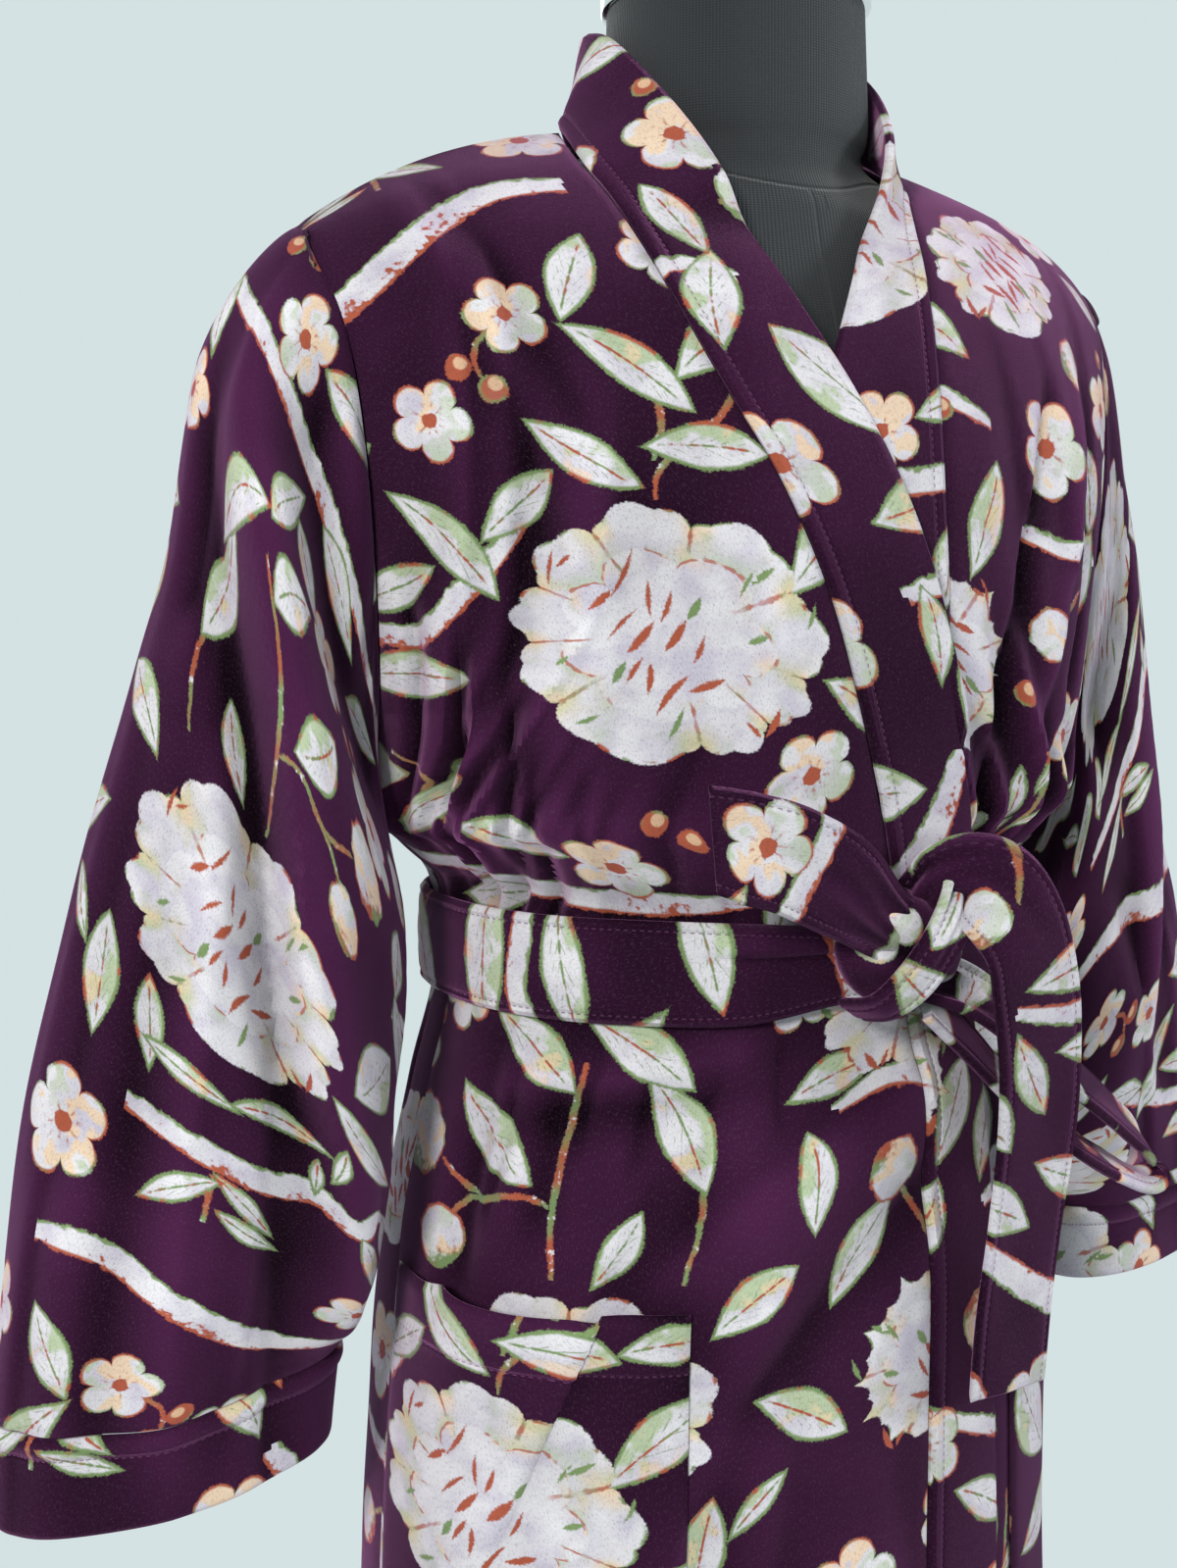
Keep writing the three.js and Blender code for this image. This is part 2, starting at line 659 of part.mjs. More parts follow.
const beltLoop = table(strapColumns, [
  [8, -137, 1056, 0.35, 0.55, 0.75, 28],
  [30, -139, 1046, 0.45, 0.6, 0.65, 26],
  [56, -135, 1030, 0.5, 0.7, 0.5, 28],
  [98, -128, 998, 0.5, 0.8, 0.32, 34],
  [128, -122, 975, 0.5, 0.83, 0.2, 36],
  [149, -117, 957, 0.5, 0.85, 0.1, 36],
  [146, -118, 944, 0.5, 0.85, 0, 36],
  [122, -123, 954, 0.5, 0.85, 0, 34],
  [92, -128, 973, 0.5, 0.8, 0.1, 30],
  [62, -132, 995, 0.5, 0.75, 0.2, 26],
  [36, -136, 1020, 0.5, 0.7, 0.3, 25],
  [12, -137, 1044, 0.45, 0.6, 0.5, 26],
]);
const strapSection = table('across off', [
  [-0.5, 0], [-0.46, -0.5], [-0.2, -0.46], [0.2, -0.46], [0.46, -0.5],
  [0.5, 0], [0.46, 0.5], [0.2, 0.46], [-0.2, 0.46], [-0.46, 0.5],
]);

function strapGeometry(rows, steps) {
  const path = new THREE.CatmullRomCurve3(rows.map((row) => new THREE.Vector3(row.x, row.y, row.z)));
  const positions = [];
  const count = (rows.length - 1) * steps;
  for (let i = 0; i <= count; i += 1) {
    const part = i / count;
    const row = between(rows, i / steps);
    const centre = path.getPoint(part);
    const tangent = path.getTangent(part);
    const across = new THREE.Vector3(row.acrossX, row.acrossY, row.acrossZ);
    across.addScaledVector(tangent, -across.dot(tangent)).normalize();
    const off = tangent.clone().cross(across);
    for (const corner of strapSection) {
      const point = centre.clone().addScaledVector(across, corner.across * row.width);
      point.addScaledVector(off, corner.off * beltThickness);
      positions.push(point.x, point.y, point.z);
    }
  }
  const sides = strapSection.length;
  const index = [];
  for (let i = 0; i < count; i += 1) {
    for (let k = 0; k < sides; k += 1) {
      const a = i * sides + k;
      const b = i * sides + ((k + 1) % sides);
      index.push(a, b, b + sides, a, b + sides, a + sides);
    }
  }
  const end = count * sides;
  for (let k = 1; k < sides - 1; k += 1) {
    index.push(0, k + 1, k, end, end + k, end + k + 1);
  }
  const geometry = new THREE.BufferGeometry();
  geometry.setAttribute('position', new THREE.Float32BufferAttribute(positions, 3));
  geometry.setIndex(index);
  return geometry;
}

function volume(geometry) {
  const p = geometry.getAttribute('position');
  const index = geometry.getIndex();
  let sum = 0;
  const corner = [new THREE.Vector3(), new THREE.Vector3(), new THREE.Vector3()];
  for (let i = 0; i < index.count; i += 3) {
    corner.forEach((vector, k) => vector.fromBufferAttribute(p, index.getX(i + k)));
    sum += corner[0].dot(corner[1].clone().cross(corner[2])) / 6;
  }
  return sum;
}

function facingOut(geometry) {
  if (volume(geometry) > 0) return geometry;
  const index = Array.from(geometry.getIndex().array);
  for (let i = 0; i < index.length; i += 3) {
    [index[i + 1], index[i + 2]] = [index[i + 2], index[i + 1]];
  }
  geometry.setIndex(index);
  return geometry;
}

function solidOf(geometry) {
  const out = facingOut(geometry);
  return new wasm.Manifold(new wasm.Mesh({
    numProp: 3,
    vertProperties: new Float32Array(out.getAttribute('position').array),
    triVerts: new Uint32Array(out.getIndex().array),
  }));
}

function geometryOf(solid) {
  const mesh = solid.getMesh();
  const geometry = new THREE.BufferGeometry();
  geometry.setAttribute('position', new THREE.Float32BufferAttribute(mesh.vertProperties, 3));
  geometry.setIndex(Array.from(mesh.triVerts));
  return geometry;
}

// Cuts the knot, grown by the seam gap, out of a strap and keeps its largest piece.
function clearOfKnot(geometry) {
  const cut = solidOf(geometry).subtract(solidOf(knotGeometry(seamGap)));
  const pieces = cut.decompose().sort((a, b) => b.volume() - a.volume());
  return geometryOf(pieces[0]);
}

// The dress form, from its flat underside to the top of its neck. half reaches to the end of a
// row, spread is the half width of its rounded middle.
const formRows = table('z shift half spread front back', [
  [735, -10, 134, 138, -90, 98],
  [770, -10, 139, 143, -96, 104],
  [850, -10, 140, 144, -100, 106],
  [930, -9, 132, 136, -94, 98],
  [1000, -7, 118, 121, -84, 86],
  [1050, -6, 112, 115, -80, 78],
  [1100, -5, 119, 122, -86, 82],
  [1160, -3, 130, 133, -96, 90],
  [1220, -2, 140, 142, -102, 97],
  [1270, -1, 150, 150, -98, 102],
  [1310, 0, 160, 150, -86, 96],
  [1340, 0, 174, 138, -76, 86],
  [1356, 0, 184, 124, -71, 76],
  [1368, 0, 191, 98, -68, 69],
  [1376, 0, 181.5, 78, -66, 62],
  [1384, -1, 158, 63, -62, 58],
  [1392, -2, 120, 56, -58, 54],
  [1400, -2, 80, 56, -57, 51],
  [1406, -1, 64, 57, -57, 51],
  [1413, 0, 63, 60, -57.5, 53],
  [1428, 0, 61, 60.5, -57.5, 55],
  [1470, 0, 58.5, 58.5, -57, 57],
]);
const formCentre = 12;

function formTorso() {
  const round = 28;
  const positions = [];
  const index = [];
  for (const row of formRows) {
    for (let i = 0; i < round; i += 1) {
      const turn = (i / round) * 2 * Math.PI;
      const lean = 1 - ease(1395, 1425, row.z);
      const middle = formCentre * lean * ease(1180, 1340, row.z);
      const depth = Math.cos(turn) >= 0 ? middle - row.front : row.back - middle;
      const x = row.shift + row.spread * Math.sin(turn) + (row.half - row.spread) * Math.sin(turn) ** 5;
      const y = middle - depth * Math.cos(turn);
      positions.push(x, y, row.z);
    }
  }
  const last = (formRows.length - 1) * round;
  for (let j = 0; j < formRows.length - 1; j += 1) {
    for (let i = 0; i < round; i += 1) {
      const a = j * round + i;
      const b = j * round + ((i + 1) % round);
      index.push(a, b, b + round, a, b + round, a + round);
    }
  }
  for (let i = 1; i < round - 1; i += 1) index.push(0, i + 1, i, last, last + i, last + i + 1);
  const geometry = new THREE.BufferGeometry();
  geometry.setAttribute('position', new THREE.Float32BufferAttribute(positions, 3));
  geometry.setIndex(index);
  return geometry;
}

function lathe(profile, segments) {
  const points = profile.map(([radius, height]) => new THREE.Vector2(radius, height));
  const geometry = new THREE.LatheGeometry(points, segments);
  geometry.rotateX(Math.PI / 2);
  return geometry;
}

const neckTopHeight = formRows[formRows.length - 1].z;
const capBottom = neckTopHeight + seamGap;

function capGeometry() {
  return lathe([
    [0, capBottom], [capRadius, capBottom], [capRadius, capBottom + capHeight * 0.6],
    [capRadius * 0.92, capBottom + capHeight], [0, capBottom + capHeight + 3],
  ], 32);
}

function poleGeometry() {
  return lathe([
    [0, baseThickness + seamGap], [poleRadius, baseThickness + seamGap],
    [poleRadius, poleSeat - seamGap], [0, poleSeat - seamGap],
  ], 20);
}

function baseGeometry() {
  return lathe([
    [0, 0], [baseRadius, 0], [baseRadius, baseThickness * 0.6],
    [baseRadius * 0.97, baseThickness], [0, baseThickness],
  ], 40);
}

function velvet() {
  return new THREE.MeshStandardMaterial({ color: velvetColour, roughness: 0.85, metalness: 0 });
}

function formFabric() {
  return new THREE.MeshStandardMaterial({ color: 0x24262a, roughness: 0.8, metalness: 0 });
}

function brightMetal() {
  return new THREE.MeshStandardMaterial({ color: 0xc9cdd0, roughness: 0.25, metalness: 1 });
}

function darkPaint() {
  return new THREE.MeshStandardMaterial({ color: 0x1b1c1e, roughness: 0.5, metalness: 0 });
}

const part = new THREE.Group();

function addPiece(name, geometry, material) {
  const flat = facingOut(geometry);
  const mesh = new THREE.Mesh(flat, material);
  mesh.name = name;
  part.add(mesh);
}

addPiece('back', backPanel(), velvet());
addPiece('front_right', rightFront(), velvet());
addPiece('front_left', leftFront(), velvet());
addPiece('band_right', band(-1), velvet());
addPiece('band_left', band(1), velvet());
addPiece('sleeve_right', sleeve(-1), velvet());
addPiece('sleeve_left', sleeve(1), velvet());
addPiece('cuff_right', cuff(-1), velvet());
addPiece('cuff_left', cuff(1), velvet());
addPiece('pocket_right', pocket(-1), velvet());
addPiece('pocket_left', pocket(1), velvet());
addPiece('belt_wrap', beltWrap(), velvet());
addPiece('belt_knot', knotGeometry(0), velvet());
addPiece('belt_tail_short', clearOfKnot(strapGeometry(shortTail, 3)), velvet());
addPiece('belt_tail_long', clearOfKnot(strapGeometry(longTail, 3)), velvet());
addPiece('belt_loop', clearOfKnot(strapGeometry(beltLoop, 2)), velvet());
addPiece('form_torso', formTorso(), formFabric());
addPiece('form_cap', capGeometry(), brightMetal());
addPiece('stand_pole', poleGeometry(), brightMetal());
addPiece('stand_base', baseGeometry(), darkPaint());

export default part;
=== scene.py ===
import bpy
import math
import numpy as np
from mathutils import Matrix, Vector


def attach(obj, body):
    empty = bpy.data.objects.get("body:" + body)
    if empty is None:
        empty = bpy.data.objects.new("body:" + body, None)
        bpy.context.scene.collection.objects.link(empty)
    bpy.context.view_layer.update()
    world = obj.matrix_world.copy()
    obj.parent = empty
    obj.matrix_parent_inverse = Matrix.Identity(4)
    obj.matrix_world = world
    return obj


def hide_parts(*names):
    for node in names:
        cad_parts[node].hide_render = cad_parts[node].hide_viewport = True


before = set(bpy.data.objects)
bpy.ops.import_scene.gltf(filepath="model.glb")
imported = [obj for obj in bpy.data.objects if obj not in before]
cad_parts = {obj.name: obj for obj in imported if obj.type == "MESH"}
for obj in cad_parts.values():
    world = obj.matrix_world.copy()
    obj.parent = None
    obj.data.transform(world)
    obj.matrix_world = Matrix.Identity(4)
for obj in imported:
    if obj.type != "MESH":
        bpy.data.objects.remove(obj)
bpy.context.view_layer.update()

degree = math.pi / 180

# The robe is worked out in millimetres and made in metres.
# The front faces -Y and the wearer's right side is at -X.

cameraSettings = {
    "place": (-0.440, -0.735, 1.217),
    "yaw": 26.3,          # degrees from +Y towards +X
    "pitch": -6.4,
    "roll": -0.4,
    "lens": 41.65,
}


def makeCamera():
    data = bpy.data.cameras.new("photoCamera")
    data.lens = cameraSettings["lens"]
    data.sensor_width = 36
    data.clip_start = 0.05
    camera = bpy.data.objects.new("photoCamera", data)
    bpy.context.collection.objects.link(camera)
    yaw = cameraSettings["yaw"] * degree
    pitch = cameraSettings["pitch"] * degree
    look = Vector((math.sin(yaw) * math.cos(pitch), math.cos(yaw) * math.cos(pitch), math.sin(pitch)))
    turn = look.to_track_quat("-Z", "Y").to_matrix().to_4x4()
    roll = Matrix.Rotation(cameraSettings["roll"] * degree, 4, Vector((0, 0, 1)))
    camera.matrix_world = Matrix.Translation(cameraSettings["place"]) @ turn @ roll
    bpy.context.scene.camera = camera
    return camera


makeCamera()
print("camera made")


def makeTable(names, rows):
    return {name: np.array([row[i] for row in rows], float) for i, name in enumerate(names.split())}


def readAlong(table, place):
    # smooth values between a table's rows
    count = len(next(iter(table.values())))
    at = np.clip(np.asarray(place, float), 0, count - 1)
    i = np.minimum(at.astype(int), count - 2)
    t = at - i
    before, after = np.maximum(i - 1, 0), np.minimum(i + 2, count - 1)
    out = {}
    for name, column in table.items():
        a, b, c, d = column[before], column[i], column[i + 1], column[after]
        first, second = (c - a) / 2, (d - b) / 2
        out[name] = (
            (2 * t**3 - 3 * t**2 + 1) * b + (t**3 - 2 * t**2 + t) * first
            + (3 * t**2 - 2 * t**3) * c + (t**3 - t**2) * second)
    return out


def ease(start, end, value):
    t = np.clip((np.asarray(value, float) - start) / (end - start), 0, 1)
    return t * t * (3 - 2 * t)


def signedPower(value, power):
    return np.sign(value) * np.abs(value) ** power


def unit(vectors):
    return vectors / np.maximum(np.linalg.norm(vectors, axis=-1, keepdims=True), 1e-9)


sectionPower = 2.3
shoulderDroop = 2.9
bodyRows = makeTable(
    "z edgeZ shift half front back edgeFront edgeBack turn rightSeam rightEdge leftSeam leftEdge", [
        [185, 185, -15, 180, -132, 140, 5, 5, 1, 16, 60, 18, -44],
        [300, 300, -15, 178, -131, 138, 5, 5, 1, 16, 60, 18, -44],
        [420, 420, -15, 176, -130, 136, 5, 5, 1, 17, 60, 19, -43],
        [540, 540, -15, 174, -129, 134, 5, 5, 1, 17, 61, 19, -43],
        [660, 660, -15, 171, -128, 131, 5, 5, 1, 18, 61, 20, -42],
        [760, 760, -15, 168, -127, 128, 5, 5, 1, 19, 62, 20, -42],
        [850, 850, -14, 164, -124, 124, 5, 5, 1, 22, 63, 21, -41],
        [930, 930, -12, 157, -119, 116, 5, 5, 1, 25, 64, 22, -40],
        [990, 990, -10, 147, -112, 106, 5, 5, 1, 24, 62, 24, -38],
        [1035, 1035, -8, 137, -104.5, 96.5, 5, 5, 1, 20, 60, 26, -35],
        [1081, 1081, -8, 137, -104.5, 96.5, 5, 5, 1, 13, 56, 28, -34],
        [1095, 1095, -7, 149, -110, 100, 5, 5, 1, 8, 54, 29, -34],
        [1107, 1107, -6, 163, -114, 104, 5, 5, 1, 3, 51, 30, -34],
        [1120, 1116, -5, 175, -117, 110, 5, 5, 1, -2, 45, 32, -34],
        [1162, 1155, -4, 179, -121, 118, -16, 42, 0.88, -15, 37, 34, -34],
        [1208, 1195, -3, 183, -124, 123, -27, 60, 0.78, -31, 22, 31, -34],
        [1252, 1235, -2, 187, -122, 125, -32, 68, 0.72, -50, 4, 29, -32],
        [1290.5, 1272, -1, 191, -114, 122, -33, 68, 0.68, -69, -14, 32, -25],
        [1324, 1303, 0, 195, -101, 114, -30, 62, 0.65, -81, -31, 38, -8],
        [1352, 1327, 0, 199, -84, 104, -24, 52, 0.62, -88, -41, 45, 10],
        [1376, 1344, 0, 203, -62, 90, -13, 40, 0.6, -92, -46, 54, 28],
        [1396, 1358, 0, 204, -36, 67, 0, 28, 0.6, -94, -56, 67, 44],
        [1417, 1365, 0, 203, 10, 10, 14, 14, 0.6, -84, -64, 76, 62],
    ])
underarm = 13
shoulder = 22
neckStart = 20
neckRight = -84
neckLeft = 76
neckDrop = 0.85
bandRise = 1.6
overlapLift = 6.5

rightCollar = makeTable("x y z", [
    [-48, -72, 1384], [-58, -50, 1414], [-67, -12, 1448],
    [-66, 16, 1459], [-58, 38, 1462], [-43, 54, 1464], [-22, 63, 1465], [0, 66, 1465],
])
leftCollar = makeTable("x y z", [
    [33, -70, 1385], [47, -55, 1413], [63, -16, 1444],
    [64, 16, 1458], [57, 38, 1462], [43, 54, 1464], [22, 63, 1465], [0, 66, 1465],
])

# The main folds, as on the solids: lower and upper end, angle at the lower end, lean, width and
# depth. Ridges have a depth below 0.
mainFolds = makeTable("low high angle lean width depth", [
    [1062, 1180, -83, 0.17, 3.4, 8], [1062, 1185, -76, 0.19, 3.4, 8], [1062, 1175, -69, 0.2, 3.2, 6],
    [1062, 1150, -60, 0.16, 4, 4], [1062, 1215, 25, -0.085, 3.4, 6], [1062, 1230, 34, -0.1, 3.6, 7],
    [1062, 1215, 45, -0.1, 4, 7], [1062, 1190, 57, -0.06, 4.5, 6], [1062, 1170, 73, 0.05, 4, 6],
    [900, 1052, -72, 0.03, 4.5, 5], [930, 1052, -55, 0.05, 4.5, 4], [900, 1052, 38, -0.04, 4.5, 5],
    [880, 1052, 60, -0.03, 4.5, 5], [100, 720, -78, 0.01, 10, -8], [100, 660, -48, 0.01, 9, 7],
    [100, 700, 40, 0, 10, -8], [100, 640, 66, 0, 9, 7], [1062, 1200, 100, 0, 4.5, 7],
    [1062, 1230, 118, 0.03, 4.5, 6], [1062, 1250, 140, 0.03, 5, 6], [1062, 1260, 163, 0.02, 5, 5],
    [1062, 1255, -166, -0.02, 5, 6], [1062, 1240, -144, -0.03, 5, 6], [1062, 1230, -121, -0.03, 4.5, 7],
    [1062, 1200, -101, 0, 4.5, 6], [860, 1052, 112, 0, 5, 5], [880, 1052, 150, 0, 5, 4],
    [870, 1052, -157, 0, 5, 5], [860, 1052, -116, 0, 5, 5], [100, 700, 105, 0, 11, -9],
    [100, 640, 132, 0, 10, 7], [100, 720, 165, 0, 11, -9], [100, 660, -160, 0, 10, 7],
    [100, 710, -130, 0, 11, -9], [100, 640, -104, 0, 9, 7],
])

# Finer creases that only the cloth has. lean slopes them, and lop makes the side towards larger
# angles wider (above 0) or steeper (below 0).
fineFolds = makeTable("low high angle lean width depth lop", [
    [1064, 1235, -86, 0.2, 2.0, 3.4, 0.4], [1064, 1215, -79.5, 0.2, 1.7, -3.6, -0.5],
    [1064, 1250, -72.5, 0.2, 1.8, -4.2, -0.55], [1066, 1160, -65.5, 0.17, 1.6, -2.8, -0.4],
    [1066, 1190, -58, 0.15, 2.2, 3.4, 0.4], [1066, 1175, -50, 0.12, 2.2, 2.6, -0.3],
    [1066, 1150, -41, 0.08, 1.8, 2.2, 0.3], [1066, 1180, -30, 0.06, 2.4, 2.0, -0.4],
    [1066, 1130, -21, 0.03, 1.8, 1.8, 0.2], [1110, 1330, -64, 0.05, 4.2, 3.6, 0.55],
    [1130, 1340, -50, 0.05, 5, -2.6, -0.6], [1090, 1340, -36, -0.03, 5, 2.4, 0.5],
    [1150, 1420, -71, 0.02, 3.8, -3.6, -0.5], [1170, 1425, -60, 0.02, 3.6, 3.2, 0.4],
    [1066, 1200, 21, -0.1, 1.7, -3.6, 0.5], [1066, 1215, 29.5, -0.1, 1.7, -3.8, 0.5],
    [1066, 1235, 39, -0.1, 1.8, -3.8, 0.5], [1066, 1190, 51, -0.08, 2, -3.2, 0.4],
    [1066, 1160, 64, 0, 2.2, -3, 0.3], [1150, 1350, 33, -0.06, 3.4, 3.0, -0.5],
    [1180, 1390, 45, -0.05, 4, -2.8, 0.5], [1190, 1420, 60, -0.02, 4, 3.0, -0.5],
    [940, 1042, -66, 0.05, 1.9, 3.0, 0.4], [975, 1042, -47, 0.06, 1.7, 2.4, -0.4],
    [965, 1042, -36, 0.04, 2.0, 2.2, 0.3], [930, 1042, -24, 0.03, 2.8, 2.4, -0.4],
    [980, 1042, -12, 0, 1.8, 2.0, 0.3], [940, 1042, 46, -0.04, 2.0, 2.6, 0.4],
    [780, 1036, -62, 0.16, 5, 3.2, 0.6], [700, 1000, -44, 0.14, 6, -3.0, -0.5],
    [620, 960, -20, 0.05, 5, 2.6, 0.5], [640, 940, 8, -0.04, 5, -2.2, -0.4],
    [150, 700, -62, 0.01, 6, 4.0, 0.5], [120, 640, -34, -0.01, 6, -3.6, -0.5],
    [120, 640, -14, 0, 5, 3.0, 0.4], [120, 600, 22, 0, 6, 3.4, -0.5],
    [150, 640, 50, 0, 5.5, 3.8, 0.5], [150, 560, 78, 0, 5.5, -3.4, -0.5],
    [1066, 1170, 92, 0, 1.8, -3.2, 0.4], [1066, 1180, 109, 0.02, 2, -3.4, -0.4],
    [1066, 1190, 129, 0.03, 2.2, -3.2, 0.4], [1066, 1185, 151, 0.03, 2.2, -3.4, -0.4],
    [1066, 1195, 174, 0, 2.2, -3.2, 0.4], [1066, 1185, -155, -0.03, 2.2, -3.2, -0.4],
    [1066, 1180, -133, -0.02, 2, -3.4, 0.4], [1066, 1170, -111, -0.01, 1.9, -3.2, -0.4],
    [970, 1042, 101, 0, 2, 2.8, 0.3], [950, 1042, 128, 0, 2.2, 2.8, -0.3], [940, 1042, 166, 0, 2.4, 2.8, 0.3],
    [960, 1042, -138, 0, 2.2, 2.8, -0.3], [970, 1042, -104, 0, 2, 2.8, 0.3],
    [1120, 1350, 125, 0.04, 5, 3.2, 0.5], [1130, 1370, 148, 0.03, 5, -2.8, -0.5],
    [1130, 1370, -150, -0.03, 5, -2.8, 0.5], [1120, 1350, -127, -0.04, 5, 3.2, -0.5],
    [1150, 1390, 178, 0, 6, 2.8, 0.4], [150, 640, 118, 0, 6, 4, 0.5], [150, 680, 149, 0, 6, -3.6, -0.5],
    [150, 640, -174, 0, 6, 3.6, 0.4], [150, 680, -146, 0, 6, 3.8, -0.5], [150, 640, -117, 0, 6, -3.6, 0.5],
])


def lopsided(folds, k, off):
    wide = folds["width"][k]
    if "lop" in folds:
        wide = wide * (1 + folds["lop"][k] * np.sign(off))
    return np.exp(-((off / wide) ** 2))


def foldDepth(folds, angle, z):
    # how far the folds push the cloth in, at an angle in degrees round the body
    depth = np.zeros_like(z)
    for k in range(len(folds["low"])):
        low, high = folds["low"][k], folds["high"][k]
        reach = high - low
        fade = ease(low, low + 0.25 * reach, z) * (1 - ease(low + 0.45 * reach, high, z))
        centre = folds["angle"][k] + folds["lean"][k] * (z - low)
        off = angle - centre
        off = off - 360 * np.round(off / 360)
        depth += folds["depth"][k] * fade * lopsided(folds, k, off)
    return depth


def lineFolds(lines, kind, a, b):
    # folds along lines of points, in millimetres across and up the cloth
    depth = np.zeros(np.shape(a))
    flat = np.stack([np.ravel(a), np.ravel(b)], -1)
    for points, width, height, lop, place in lines:
        if place != kind:
            continue
        line, run = curvePoints(points, 9.0)
        near = np.nonzero(
            (flat[:, 0] > line[:, 0].min() - 4 * width) & (flat[:, 0] < line[:, 0].max() + 4 * width)
            & (flat[:, 1] > line[:, 1].min() - 4 * width) & (flat[:, 1] < line[:, 1].max() + 4 * width))[0]
        if not len(near):
            continue
        span = line[1:] - line[:-1]
        length = np.linalg.norm(span, axis=1)
        offset = flat[near][:, None, :] - line[:-1][None]
        part = np.clip((offset * span[None]).sum(-1) / (length**2)[None], 0, 1)
        away = np.linalg.norm(offset - part[..., None] * span[None], axis=-1)
        which = away.argmin(1)
        rows = np.arange(len(near))
        along = run[which] + part[rows, which] * length[which]
        cross = span[which, 0] * offset[rows, which, 1] - span[which, 1] * offset[rows, which, 0]
        wide = width * (1 + lop * np.tanh(cross / width * 2))
        fade = ease(0, 0.28 * run[-1], along) * (1 - ease(0.78 * run[-1], run[-1], along))
        depth.reshape(-1)[near] += height * fade * np.exp(-((away[rows, which] / wide) ** 2))
    return depth


# Creases of the body that bend: points in degrees round the body and height, width, depth,
# how lopsided, and 1 for the front or -1 for the back.
bodyLines = [
    ([(-71, 1215), (-70, 1165), (-70, 1112), (-75, 1086), (-83, 1058), (-85, 1046)], 5.5, 9, 0.45, 1),
    ([(-66.5, 1205), (-66, 1160), (-65.5, 1115), (-70, 1088), (-77, 1062)], 4.5, -4, -0.4, 1),
    ([(-61, 1185), (-56, 1138), (-55, 1111), (-65, 1088), (-76, 1060), (-78, 1046)], 5, 7.5, 0.4, 1),
    ([(-53, 1160), (-50, 1112), (-57, 1082), (-63, 1056)], 4.5, 5.5, 0.3, 1),
    ([(-42, 1150), (-40, 1110), (-43, 1080), (-46, 1054)], 4.5, 3.5, -0.3, 1),
    ([(-84, 1235), (-80, 1150), (-81, 1108), (-87, 1075), (-89, 1050)], 5.5, 6.5, 0.4, 1),
    ([(-80, 994), (-58, 1010), (-38, 1013), (-20, 1023), (-8, 1034)], 9, -3.2, 0.4, 1),
    ([(18, 1018), (2, 986), (-14, 958), (-34, 918)], 15, -4.5, 0.4, 1),
    ([(16, 985), (4, 944), (-8, 905), (-20, 860)], 12, 4, 0.3, 1),
    ([(-70, 985), (-50, 996), (-28, 1000), (-10, 1012)], 8, 3, -0.3, 1),
    ([(-74, 1398), (-64, 1335), (-52, 1262), (-46, 1205)], 11, -3.4, 0.4, 1),
    ([(-64, 1392), (-55, 1325), (-44, 1258)], 9, 3, -0.3, 1),
    ([(40, 1330), (31, 1245), (23, 1165), (20, 1095), (20, 1050)], 6, 5.5, 0.4, 1),
    ([(52, 1340), (44, 1245), (35, 1160), (30, 1090)], 7, -5, -0.4, 1),
    ([(60, 1250), (50, 1180), (40, 1110), (34, 1050)], 6, 7, 0.3, 1),
    ([(72, 1230), (64, 1160), (56, 1100), (48, 1050)], 6, 6, -0.3, 1),
    ([(104, 1230), (112, 1150), (118, 1095), (116, 1048)], 6, 7, 0.4, -1),
    ([(134, 1250), (138, 1160), (136, 1095), (132, 1048)], 6, 6, -0.4, -1),
    ([(160, 1260), (157, 1170), (158, 1100), (160, 1048)], 6, 6, 0.4, -1),
    ([(-176, 1250), (-172, 1165), (-174, 1100), (-176, 1048)], 6, 5.5, 0.3, -1),
    ([(-152, 1260), (-148, 1160), (-150, 1095), (-152, 1048)], 6, 6, -0.4, -1),
    ([(-124, 1240), (-128, 1160), (-126, 1095), (-122, 1048)], 6, 7, 0.4, -1),
    ([(110, 1380), (128, 1330), (150, 1290), (172, 1276)], 12, -3.5, 0.4, -1),
    ([(-112, 1375), (-130, 1320), (-152, 1284), (-172, 1270)], 12, 3.5, 0.4, -1),
    ([(100, 1000), (125, 1008), (150, 1004), (172, 1014)], 9, -3.2, 0.4, -1),
]
degreeRun = 2.4      # millimetres in a degree round the body


def softRipple(x, y, z):
    # a slow unevenness, about 1 mm high
    return (
        0.55 * np.sin(x / 31 + 1.3 * np.sin(z / 57)) * np.sin(z / 43 + 0.8 * np.sin(y / 37))
        + 0.4 * np.sin(y / 23 + z / 61 + 1.1) * np.sin(x / 41 - z / 29)
        + 0.3 * np.sin(x / 13 + z / 19 + 0.7 * np.sin(y / 17)) * np.sin(z / 67 - y / 21))


